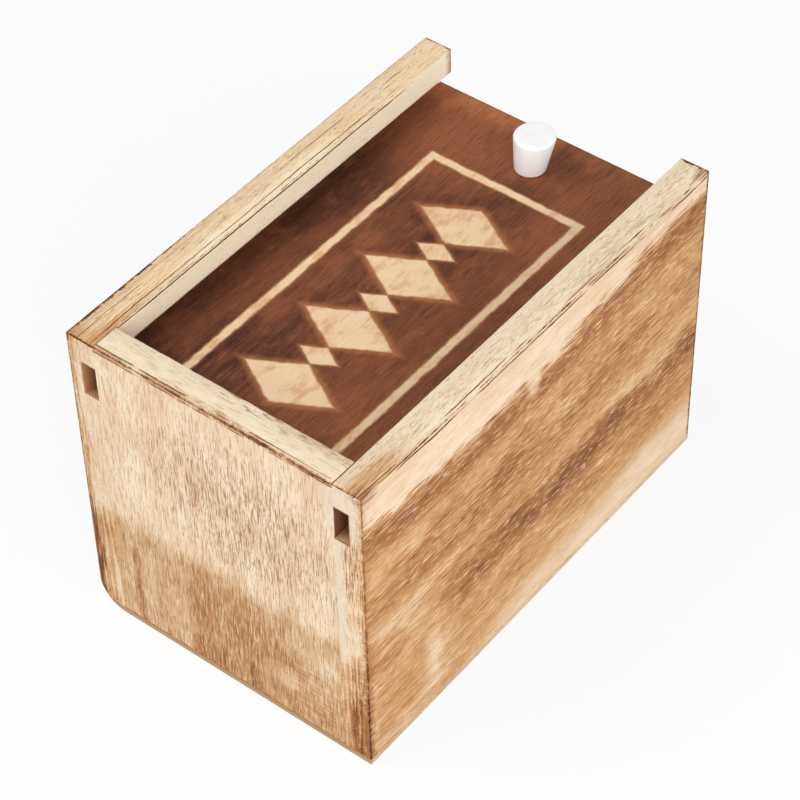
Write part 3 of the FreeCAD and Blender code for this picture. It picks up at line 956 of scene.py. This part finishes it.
    # Burnt edges, and splits beside the rail's outer edge
    from_end = x + BOX_END
    from_side = y + BOX_SIDE
    low_down = step(depth, 22, 46)
    corner_burn = wood.edge_line(from_end, from_side, 0.45, 0.5 + low_down * 0.4)
    corner_halo = wood.edge_line(from_end, from_side, 1.6, 0.2 + low_down * 0.24)
    breaks = wood.noise((0.07, 0.4, 0.4), 47, 3, 0.65)
    broken = step(breaks, 0.4, 0.54)
    top_burn = wood.edge_line(depth, from_side, 0.2, 0.85) * broken
    top_halo = step(most(depth, from_side), 0.9, 0.1) * broken * 0.16
    far = wood.edge_line(BOX_END - x, wood.least(depth, from_side), 0.7, 0.9)
    near_top = wood.edge_line(from_end, depth, 0.3, 0.7)
    split_down = wood.crack(depth, 0.75, 0.22, 0.7, breaks) * outside
    split_top = wood.crack(y, -26.6, 0.16, 0.6, 1 - breaks) * top * 0.7
    rim = wood.groove_rim(-1, end) * 0.6
    edges = wood.strongest(corner_burn, corner_halo, top_burn, top_halo, far, near_top, rim)
    return wood.surface(wood.burn(base, wood.strongest(edges, split_down * 0.95, split_top)))


def left_panel_wood():
    """Fibres along the box. Straw on the rail, with a split along its inner top edge."""
    wood = Wood("left_panel_wood", X, 57, SIDE_STROKES)
    x, y, depth = wood.x, wood.y, wood.depth
    step, band, mix, most = wood.step, wood.band, wood.mix, wood.most
    down = depth + wood.ragged(1.8)
    outer = step(y, 26.2, 26.9)
    below = down - 5.5 - step(x, -34, 24) * 3.5
    slant = down + x * 0.06
    upper = band(below, 3.0, 1.0, 5.5)
    middle = band(slant, 27.5, 1.5, 8.0)
    light_gap = band(slant, 37.0, 0.5, 4.0)
    lower = band(down - x * 0.04, 45.0, 1.0, 5.5)
    pale_foot = step(down - x * 0.1, 50, 57)
    bands = 0.58 + upper * 0.38 + middle * 0.3 - light_gap * 0.2 + lower * 0.45 - pale_foot * 0.4
    end, far_end, top = wood.near_end(), wood.far_end(), wood.top_face()
    outside = outer * (1 - end) * (1 - far_end) * (1 - top)
    inner = step(y, 22.4, 22.15) * step(depth, 12, 9) * (1 - end)
    rail_near = step(x, -28, -43) * 0.14 + step(x, -20, -34) * step(y, 24.4, 23.2) * 0.24
    rail = (0.04 + rail_near + (wood.blotch - 0.5) * 0.3) * top
    scorch = most(wood.banded(bands, below) * outside + rail, 0.0)

    upright = wood.upright_streaks(2.0, 0.12, 71)
    dashes = wood.upright_dashes(73) * most(end, far_end)
    end_low = step(depth + upright * 3 + wood.ragged(0.6), 35, 41) * 0.52
    end_side = step(y + upright * 1.6, 26.0, 27.4) * (0.4 + step(depth, 26, 50) * 0.6)
    end_white = band(y, 22.9, 0.2, 0.8) * step(depth, 44, 49) * step(depth, 57, 52) * end
    end_scorch = (end_low + end_side) * (0.35 + upright) * end + wood.far_scorch(upright, 30, far_end)

    base = mix(end_white * 0.4, wood.bare(), WHITE_WOOD)
    # The inner face is paler bare wood, made lighter still by painted light against the shade that
    # falls on it.
    base = mix(inner * 0.92, base, INNER_CREAM)
    base = mix(top * 0.6, base, RAIL_CREAM)
    base = mix(top * wood.dots(79) * (0.3 - step(x, 8, 26) * 0.18), base, SPECK)
    lines = step(wood.noise((0.06, 3.4, 3.4), 83, 3, 0.6), 0.5, 0.64)
    base = mix(lines * top * (0.14 + step(x, 0, -36) * 0.36), base, BROWN)
    pale_strip = band(y, 22.9, 0.7, 1.5) * step(x, -26, -16) * step(x, 17, 9) * top
    base = mix(pale_strip * 0.5, base, INNER_CREAM)
    # Painted shade: the groove just inside its mouth is browned, darkening the hole.
    base = mix(wood.groove_mouth_shade(end, 3.4) * step(y, 26.6, 26.2) * 0.92, base, BROWN)
    base = wood.scorched(base, (scorch + end_scorch) * (1 - end_white * 0.6))
    marked = wood.least(scorch, 1.0) * outer
    base = wood.scratched(base, marked * 0.5)
    base = mix(dashes * 0.34 * (1 - end_white), base, DASH_BROWN)
    base = mix(wood.dash * marked * 0.42, base, DASH_BROWN)
    base = wood.speckled(base, scorch * 0.5 + top * 0.3)

    # Reddened places at the rail's two ends
    reddish = step(x + wood.ragged(1.0), -38, -43) * top * step(y, 23.0, 27.0)
    inner_far = step(x + wood.ragged(0.6), 40.4, 42.4) * inner
    base = mix(most(reddish * 0.5, inner_far * 0.7), base, RED_BURN)

    # Burnt edges, and splits along the rail, whose far part is sound
    from_end = x + BOX_END
    from_side = BOX_SIDE - y
    from_inside = y - WALL_INSIDE_Y
    thick = step(x, -36, -10) * step(x, 34, 4)
    breaks = wood.noise((0.06, 0.4, 0.4), 77, 3, 0.65)
    sound = step(x, 24, 36)
    inner_burn = wood.edge_line(depth, from_inside, 0.16, 0.6) * step(breaks, 0.44, 0.56)
    inner_burn = inner_burn * (1 - sound * 0.6)
    split = wood.crack(depth, 0.5, 0.2, 0.35, breaks + thick * 0.08) * inner * (1 - sound)
    rail_split = wood.crack(y, 22.9, 0.14, 0.4, 1 - breaks) * top * 0.75 * (1 - sound)
    fine_split = wood.crack(y, 25.2, 0.12, 0.6, wood.streak) * top * 0.45
    near_outer = step(x, -6, -36)
    outer_burn = wood.edge_line(depth, from_side, 0.25 + near_outer * 0.55, 0.6 + near_outer * 0.3)
    near_top = wood.edge_line(from_end, depth, 0.4, 0.8)
    corner = wood.edge_line(from_end, from_side, 0.5, 0.55)
    far_rim = wood.least(depth, wood.least(from_inside, from_side))
    far = wood.edge_line(BOX_END - x, far_rim, 0.5, 0.6)
    rim = wood.groove_rim(1, end) * 0.45
    edges = wood.strongest(inner_burn, outer_burn, near_top, corner, far, rim)
    return wood.surface(wood.burn(base, wood.strongest(edges, split * 0.8, rail_split, fine_split)))


def front_wall_wood():
    """Upright fibres: pale with dark dashes above, tan below a soft level scorch line."""
    wood = Wood("front_wall_wood", Z, 23, END_STROKES, DULL_TAN)
    x, z, depth = wood.x, wood.z, wood.depth
    step, band, patch, mix, most = wood.step, wood.band, wood.patch, wood.mix, wood.most
    across = 0 - wood.y
    down = depth + wood.ragged(0.35)
    top = wood.top_face()
    outer = step(x, -42.1, -42.3)

    # Dark places
    tan = step(down + step(across, 6, 14), 32.4, 38.0) * 0.9
    middle = patch(across, down, (2, 45), (11, 7), 0.8)
    left_streak = band(across + (wood.blotch - 0.5) * 3, -18.3, 0.2, 1.3) * step(depth, 38, 45)
    foot_lines = band(across, -1.4, 0.1, 0.7) + band(across, 4.4, 0.1, 0.7)
    foot_lines = foot_lines * step(depth, 50, 55)
    foot_shade = step(depth, 50, 56) * step(across, -13, -6)
    foot_shade = foot_shade + patch(across, down, (-2.5, 56), (4.5, 3))
    haze = patch(across, depth, (6, 20), (17, 11)) * 0.14
    haze = haze + patch(across, depth, (5.6, 35.5), (1.6, 3)) * 0.2

    # Paler places
    pale_patch = patch(across, down, (17.5, 42.6), (5, 2.4), 0.8)
    lighter = patch(across, down, (-14, 49), (5, 6)) + patch(across, down, (16, 49), (6, 5))
    lighter = lighter + patch(across, down, (11, 50), (3.6, 2.4)) * 2.2
    lighter = lighter + patch(across, down, (21, 40), (1.4, 3)) * 2

    scorch = tan * 0.5 + middle * 0.28 + left_streak * 0.4 + foot_lines * 0.6 - pale_patch * 0.16
    scorch = scorch + foot_shade * 0.15 - lighter * 0.1
    scorch = most(scorch + haze + (wood.blotch - 0.5) * 0.36, 0.0) * outer

    # Fine crossed lines low on the right, as from the saw
    rows = wood.sum("PINGPONG", z + wood.noise((0.2, 0.2, 0.5), 91) * 3.0, 0.5)
    sawn = patch(across, depth, (17.0, 50), (6.5, 7)) * outer
    crossed = sawn * step(rows, 0.15, 0.4)

    # The top shows streaks across the box
    along_y = wood.noise((3.2, 0.4, 3.2), 37, 2, 0.6)
    outer_margin = step(x, -40.6, -41.8) * band(across, -1, 5, 9)
    inner_margin = step(x, -39.4, -38.2) * step(across, -6, 6)
    margins = 0.3 + most(outer_margin, inner_margin) * 1.1
    top_tan = (outer_margin * 0.22 + inner_margin * step(across, 2, 14) * 0.24) * top
    base = mix(top * 0.5, wood.bare(), INNER_CREAM)
    base = mix(step(along_y, 0.46, 0.6) * top * margins * 0.45, base, SPECK)
    base = mix(step(along_y, 0.57, 0.64) * top * margins * 0.5, base, DASH_BROWN)

    white = band(across, 21.3, 0.5, 1.7) * step(depth, 14, 5) * outer
    base = mix(white * 0.6, base, WHITE_WOOD)
    base = wood.scorched(base, (scorch + crossed * 0.16) * (1 - white * 0.7) + top_tan)
    busy = patch(across, depth, (5, 19), (17, 12))
    dashes = wood.dash * (0.24 + busy * 0.34 + scorch * 0.15) * outer * (1 - white * 0.8)
    base = mix(dashes, base, DASH_BROWN)
    base = wood.speckled(base, (0.3 + busy * 0.4 + scorch * 0.3) * outer)
    base = wood.scratched(base, wood.least(scorch, 1.0) * 0.4)
    # Scorch and painted shade: the wall's sides, seen only down the groove holes, are dark brown.
    groove_side_scorch_and_shade = step(abs(wood.y), 21.9, 22.02) * step(x, -42.45, -42.2)
    base = mix(groove_side_scorch_and_shade * 0.95, base, HOLE_BROWN)

    # Burnt edges
    from_end = x + BOX_END
    edge = most(depth, from_end)
    gaps = wood.noise((0.5, 0.22, 0.5), 97, 3, 0.6)
    broken = step(gaps, 0.38, 0.56)
    rightward = step(across, -20, 14)
    line_width = 0.34 + rightward * (0.36 - top * 0.2)
    first = wood.edge_line(depth, from_end, line_width, 0.75 + rightward * 0.25) * (0.5 + broken * 0.5)
    halo = step(edge + (wood.chip - 0.5) * 1.4, 1.5, 0.1) * (0.12 + broken * 0.18)
    second = wood.crack(edge, 0.75, 0.16, 0.14, gaps) * 0.8
    top_edge = wood.strongest(first, halo, second) * (1 - top * step(across, 6, 16) * 0.6)
    inner = wood.edge_line(depth, -WALL_INSIDE_X - x, 0.2, 0.6) * broken
    foot = wood.edge_line(z - BOARD_TOP, from_end, 0.25, 0.6)
    return wood.surface(wood.burn(base, wood.strongest(top_edge, inner, foot)))


def rear_wall_wood():
    """Upright fibres, scorched at the foot and along the edges."""
    wood = Wood("rear_wall_wood", Z, 131)
    x, z = wood.x, wood.z
    down = wood.depth + wood.ragged(0.8)
    outer = wood.step(x, 41.9, 42.3)
    tan = wood.step(down, 29, 40) * 0.42 + wood.band(down - wood.y * 0.08, 47, 1.5, 8) * 0.38
    scorch = wood.most(tan + wood.band(down, 18, 1, 7) * 0.12 + (wood.blotch - 0.5) * 0.5, 0.0) * outer
    base = wood.scorched(wood.bare(), scorch)
    base = wood.mix(wood.dash * (0.25 + scorch * 0.15) * outer, base, DASH_BROWN)
    base = wood.scratched(base, wood.least(scorch, 1.0) * 0.4)
    base = wood.speckled(base, 0.3 + scorch * 0.4)
    top_edge = wood.edge_line(GROOVE_LOW - z, BOX_END - x, 0.35, 0.8)
    inner_edge = wood.edge_line(GROOVE_LOW - z, x - WALL_INSIDE_X, 0.25, 0.5)
    foot = wood.edge_line(z - BOARD_TOP, BOX_END - x, 0.25, 0.5)
    return wood.surface(wood.burn(base, wood.strongest(top_edge, inner_edge, foot)))


def thin_board_wood():
    """The bottom board: plain thin plywood, raw at its edges and darker at the glue line above."""
    wood = Wood("thin_board_wood", X, 151)
    x, y, z = wood.x, wood.y, wood.z
    front_edge = wood.step(x, -42.0, -42.4)
    near_side = wood.step(x, 14, -36) * wood.step(y, -26.8, -27.1)
    glue = wood.step(z, 0.6, 0.95) * (0.15 + front_edge * 0.4)
    layer = wood.band(z, 0.5, 0.1, 0.3)
    base = wood.mix(wood.most(front_edge * 0.75, near_side * 0.4), wood.bare(), RAW_EDGE)
    base = wood.mix(glue + layer * 0.2, base, BROWN)
    base = wood.speckled(base, 0.35)
    side = wood.least(BOX_SIDE - abs(y), BOX_END - abs(x))
    return wood.surface(wood.burn(base, wood.edge_line(z, side, 0.2, 0.4)))


LID_DARK = colour(64, 32, 19)
LID_MID = colour(112, 62, 38)
LID_WARM = colour(152, 92, 60)
LID_PALE = colour(247, 218, 178)
LID_GLOW = colour(208, 138, 86)
LID_EDGE = colour(188, 118, 74)

# The stencil: a row of diamonds and a frame, with half sizes along and across the box
STENCIL_MIDDLE = -4.5
ROW_START = -32.5
HALF_PITCH = 7.0
LARGE_DIAMOND = (4.6, 8.2)
SMALL_DIAMOND = (2.0, 3.4)
LARGE_ROW = 27.4
SMALL_ROW = 20.0
FRAME_HALF = (31.6, 14.0)
FRAME_REACH = (32.1, 14.5)


def stained_lid_wood():
    """Dark stain, mottled and streaked along the box, with a pale harlequin stencil and a painted
    shadow of the left rail.
    """
    wood = Finish("stained_lid_wood")
    x, y = wood.x, wood.y
    step, mix, most = wood.step, wood.mix, wood.most
    mottle = wood.noise((0.24, 0.4, 0.4), 7, 5, 0.65)
    streak = wood.noise((0.03, 0.9, 0.9), 11, 3, 0.6)
    hatch = wood.noise((0.3, 4.4, 4.4), 15, 2, 0.6)
    fibre = step(hatch, 0.34, 0.66)
    dash = step(hatch, 0.54, 0.64)
    cloud = wood.noise((0.035, 0.05, 0.05), 19)
    stain = mix(step(mottle * 0.6 + streak * 0.4, 0.36, 0.62), LID_DARK, LID_MID)
    stain = mix(step(cloud, 0.42, 0.68) * 0.5, stain, LID_WARM)
    far_left = wood.patch(x, y, (36, 14), (14, 14))
    far_right = wood.patch(x, y, (28, -16), (16, 10))
    rightward = step(y, 4, -14)
    stain = mix(wood.strongest(far_left * 0.75, far_right * 0.72, rightward * 0.46), stain, LID_WARM)
    # Painted shadow of the left rail: a darker strip along the lid's left side.
    painted_rail_shadow = step(y + (mottle - 0.5) * 10, 11, 21) * (1 - far_left * 0.75)
    stain = mix(painted_rail_shadow * 0.5, stain, LID_DARK)
    stain = mix(step(mottle, 0.5, 0.68) * 0.3, stain, LID_WARM)
    far_strip = step(x + (mottle - 0.5) * 8, 36.5, 42.0) * (0.25 + step(y, -3, 5) * 0.5)
    stain = mix(far_strip, stain, LID_EDGE)
    stain = mix(dash * 0.42, stain, LID_DARK)
    light = step(wood.noise((0.3, 4.0, 4.0), 23, 2, 0.6), 0.55, 0.65)
    stain = mix(light * 0.28, stain, LID_WARM)

    # The stencil: four large diamonds with small ones between, inside a thin frame
    wobble = (wood.noise((0.5, 0.5, 0.5), 29, 3) - 0.5) * 1.3
    along = abs(x - STENCIL_MIDDLE)
    side = abs(y)
    cell = wood.sum("PINGPONG", x - ROW_START, HALF_PITCH)
    large = (HALF_PITCH - cell) / LARGE_DIAMOND[0] + side / LARGE_DIAMOND[1] + wobble * 0.14
    small = cell / SMALL_DIAMOND[0] + side / SMALL_DIAMOND[1] + wobble * 0.2
    in_row = step(along, LARGE_ROW + 0.2, LARGE_ROW)
    between = step(along, SMALL_ROW + 0.2, SMALL_ROW)
    long_rail = abs(side - FRAME_HALF[1] + wobble * 0.5)
    cross_rail = abs(along - FRAME_HALF[0] + wobble * 0.5)
    on_long = step(along, FRAME_REACH[0] + 0.4, FRAME_REACH[0])
    on_cross = step(side, FRAME_REACH[1] + 0.4, FRAME_REACH[1])

    def stencil(spread):
        """The pale shapes, grown by a share of their size."""
        return wood.strongest(
            step(large, 1.06 + spread, 0.94) * in_row,
            step(small, 1.12 + spread, 0.88) * between,
            step(long_rail, 0.9 + spread, 0.4) * on_long,
            step(cross_rail, 0.9 + spread, 0.4) * on_cross,
        )

    top = step(wood.z, 51.2, 51.35)
    base = mix(stencil(0.3) * top * 0.5, stain, LID_GLOW)
    pale = mix(step(mottle, 0.46, 0.66) * 0.5 + dash * 0.2, LID_PALE, LID_GLOW)
    base = mix(stencil(0.0) * top * (0.8 + fibre * 0.18), base, pale)

    edge = most(LID_HIGH[0] - x, LID_HIGH[2] - wood.z)
    base = mix(step(edge, 0.35, 0.1) * 0.6, base, LID_DARK)
    height = fibre * 0.7 + streak * 0.3
    return wood.close(base, 0.55 + fibre * 0.2, height, 0.05, 0.5, {"Specular IOR Level": 0.2})


def white_peg_plastic():
    """Satin white moulded plastic, faintly cool, with the smallest of scuffs."""
    plastic = Finish("white_peg_plastic")
    cloud = plastic.noise((0.25, 0.25, 0.25), 5)
    scuff = plastic.noise((0.6, 3.0, 1.2), 9, 3)
    base = plastic.mix(plastic.step(cloud, 0.4, 0.65), colour(252, 252, 252), colour(247, 247, 249))
    base = plastic.mix(plastic.step(scuff, 0.64, 0.76) * 0.3, base, colour(222, 218, 212))
    rough = 0.42 + plastic.step(scuff, 0.55, 0.75) * 0.2
    return plastic.close(base, rough, cloud + scuff * 0.3, 0.03, 0.3)


def drawn_steel(name, seed, shade, axis):
    """Bright drawn wire or rod: fine lines along it, a little tarnish."""
    steel = Finish(name)
    lines = steel.noise(along_axis(axis, 0.1, 9.0), seed, 2, 0.6)
    tarnish = steel.noise((0.5, 0.5, 0.5), seed + 7, 3, 0.6)
    bright = [part * shade for part in (0.72, 0.71, 0.69)] + [1.0]
    dull = [part * shade for part in (0.42, 0.38, 0.34)] + [1.0]
    base = steel.mix(steel.step(tarnish, 0.42, 0.75) * 0.7, bright, dull)
    rough = 0.24 + lines * 0.18 + steel.step(tarnish, 0.45, 0.75) * 0.2
    return steel.close(base, rough, lines, 0.02, 0.3, {"Metallic": 1.0})


def spacer_tube_plastic():
    """Milky moulded tube with faint flow lines."""
    plastic = Finish("spacer_tube_plastic")
    flow = plastic.noise((0.8, 0.15, 0.8), 5, 3)
    speck = plastic.noise((2.5, 2.5, 2.5), 9)
    base = plastic.mix(plastic.step(flow, 0.35, 0.65), colour(236, 233, 224), colour(222, 217, 204))
    base = plastic.mix(plastic.step(speck, 0.66, 0.76) * 0.4, base, colour(180, 172, 158))
    return plastic.close(base, 0.38 + flow * 0.15, flow, 0.03, 0.3)


HUB_HALF = 6.0
HUB_RADIUS = 5.0
RING_HALF = 0.45


def dowel_end_wood():
    """The hub: a slice of dowel, fibres along the axle and rings on its ends."""
    wood = Wood("dowel_end_wood", Y, 211)
    across = wood.x - AXLE_X
    up = wood.z - AXLE_Z
    out = wood.sum("SQRT", across * across + up * up)
    rings = wood.sum("PINGPONG", out + wood.ragged(0.4), RING_HALF) / RING_HALF
    on_end = wood.step(abs(wood.y), 5.8, 5.95)
    base = wood.mix(wood.step(rings, 0.35, 0.9) * on_end * 0.5, wood.bare(), TAN)
    base = wood.speckled(base, 0.2 + on_end * 0.3)
    rim = wood.edge_line(HUB_HALF - abs(wood.y), HUB_RADIUS - out, 0.25, 0.5)
    return wood.surface(wood.burn(base, rim))


def spider_rubber():
    """Black moulded rubber: soft sheen, lighter on the high spots, dull red marks on the abdomen."""
    rubber = Finish("spider_rubber")
    x, y, z = rubber.x, rubber.y, rubber.z
    fine = rubber.noise((3.2, 3.2, 3.2), 5, 3, 0.6)
    cloud = rubber.noise((0.3, 0.3, 0.3), 9, 3, 0.6)
    point = rubber.add("ShaderNodeNewGeometry", out="Pointiness")
    base = rubber.mix(rubber.step(cloud, 0.4, 0.65), colour(30, 28, 28), colour(46, 41, 39))
    base = rubber.mix(rubber.step(fine, 0.55, 0.75) * 0.35, base, colour(78, 70, 65))
    base = rubber.mix(rubber.step(point, 0.52, 0.6) * 0.5, base, colour(92, 84, 78))
    chevron = rubber.sum("PINGPONG", x + 12.0 + abs(y) * 0.9 + (cloud - 0.5) * 1.2, 1.9)
    on_back = rubber.patch(x, y, (-4.0, 0), (6.0, 3.4), 0.2) * rubber.step(z, 11.0, 12.5)
    mark_red = rubber.step(chevron, 0.85, 0.45) * on_back
    base = rubber.mix(mark_red * (0.55 + fine * 0.4), base, colour(150, 48, 30))
    return rubber.close(base, 0.42 + fine * 0.22, fine + cloud * 0.5, 0.08, 0.5)


# Camera, at the photograph's place
CAMERA_AT = Vector((-237.00, -191.63, 338.73))
CAMERA_TURN = math.radians(-51.05)
CAMERA_TILT = math.radians(45.64)
CAMERA_ROLL = math.radians(-1.34)
CAMERA_LENS = 125.72
CAMERA_NEAREST = 10

back = Vector(
    (
        math.sin(CAMERA_TURN) * math.cos(CAMERA_TILT),
        -math.cos(CAMERA_TURN) * math.cos(CAMERA_TILT),
        math.sin(CAMERA_TILT),
    )
)
level = Vector((0, 0, 1)).cross(back).normalized()
upward = back.cross(level)
right = math.cos(CAMERA_ROLL) * level + math.sin(CAMERA_ROLL) * upward
above = math.cos(CAMERA_ROLL) * upward - math.sin(CAMERA_ROLL) * level
lens = bpy.data.cameras.new("camera")
lens.sensor_width = 36
lens.lens = CAMERA_LENS
lens.clip_start = CAMERA_NEAREST * MM
camera = bpy.data.objects.new("camera", lens)
bpy.context.scene.collection.objects.link(camera)
axes = Matrix((right, above, back)).transposed().to_4x4()
camera.matrix_world = Matrix.Translation(CAMERA_AT * MM) @ axes
bpy.context.scene.camera = camera
bpy.context.scene.view_settings.view_transform = "Standard"

# Lamps: name, place and side in metres, and watts. All are aimed at the middle of the box.
LAMP_AIM = Vector((0, 0, 0.03))
LAMPS = (
    ("key", (-0.45, 0.35, 0.9), 0.5, 4.45),
    ("fill", (-0.2, -0.8, 0.5), 0.6, 2.5),
    ("front", (-0.62, -0.68, 0.42), 0.6, 3.9),
)
WHITE = (1, 1, 1, 1)
PAPER = (0.9, 0.9, 0.9, 1)
PAPER_GLOW = 0.88
SURROUND_LIGHT = 0.4
FLOOR_METRES = 6


def soft_lamp(name, at, side, watts):
    """A square lamp, aimed at the box."""
    data = bpy.data.lights.new(name, "AREA")
    data.size = side
    data.energy = watts
    lamp = bpy.data.objects.new(name, data)
    bpy.context.scene.collection.objects.link(lamp)
    lamp.location = at
    lamp.rotation_euler = (Vector(at) - LAMP_AIM).to_track_quat("Z", "Y").to_euler()


def white_surround():
    """White where it is seen, and dimmer where it lights the box."""
    world = bpy.data.worlds.new("surround")
    bpy.context.scene.world = world
    world.use_nodes = True
    sky = Nodes(world.node_tree)
    seen = sky.add("ShaderNodeBackground", None, {"Color": WHITE, "Strength": 1.0})
    lit = sky.add("ShaderNodeBackground", None, {"Color": WHITE, "Strength": SURROUND_LIGHT})
    choice = sky.add("ShaderNodeMixShader", None, {0: sky.background_ray(), 1: lit, 2: seen})
    sky.add("ShaderNodeOutputWorld", None, {"Surface": choice}, out=None)


def white_floor():
    """A white floor that keeps the shadow."""
    let_go()
    bpy.ops.mesh.primitive_plane_add(size=FLOOR_METRES)
    floor = bpy.context.object
    floor.name = "floor"
    paper = Finish("white_paper")
    matt = paper.add("ShaderNodeBsdfDiffuse", None, {"Color": PAPER})
    glow = paper.add("ShaderNodeEmission", None, {"Color": WHITE, "Strength": 1.0})
    share = paper.background_ray() * PAPER_GLOW
    mixed = paper.add("ShaderNodeMixShader", None, {0: share, 1: matt, 2: glow})
    paper.add("ShaderNodeOutputMaterial", None, {"Surface": mixed}, out=None)
    floor.data.materials.append(paper.material)


for lamp in LAMPS:
    soft_lamp(*lamp)
white_surround()
white_floor()


def paint(piece, material):
    """Give a new piece its finish."""
    piece.data.materials.clear()
    piece.data.materials.append(material)


def dress(piece, material, body, slot, *nodes):
    """Give a new piece its finish, its body and the nodes that it stands for."""
    paint(piece, material)
    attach(piece, body)
    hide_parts(*nodes)


def repaint(node, material):
    """A better finish for a CAD node that stays as it is."""
    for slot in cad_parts[node].material_slots:
        slot.material = material


dress(right_board, right_panel_wood(), "box", "torched_wood", "right_side_panel")
dress(left_board, left_panel_wood(), "box", "torched_wood", "left_side_panel")
dress(front_board, front_wall_wood(), "box", "torched_wood", "front_wall")
dress(rear_board, rear_wall_wood(), "box", "torched_wood", "rear_wall")
dress(base_sheet, thin_board_wood(), "box", "plywood", "bottom_board")
dress(lid_sheet, stained_lid_wood(), "lid", "stained_wood", "lid_panel")
dress(peg, white_peg_plastic(), "lid", "white_plastic", "lid_peg")
dress(spider, spider_rubber(), "arm", "black_rubber", "rubber_spider")

repaint("axle_rod", drawn_steel("bright_rod", 3, 1.0, Y))
repaint("lid_stop_pins", drawn_steel("pin_steel", 13, 0.95, Z))
repaint("bottom_brads", drawn_steel("brad_steel", 23, 0.85, Z))
repaint("arm_wire", drawn_steel("arm_wire_steel", 33, 0.9, X))
tube_plastic = spacer_tube_plastic()
repaint("left_axle_spacer", tube_plastic)
repaint("right_axle_spacer", tube_plastic)
repaint("arm_hub", dowel_end_wood())

# The spring takes the CAD spring's place and is attached to no body
paint(spring, drawn_steel("spring_steel_wire", 43, 0.8, Y))
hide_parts("torsion_spring")
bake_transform(spring)
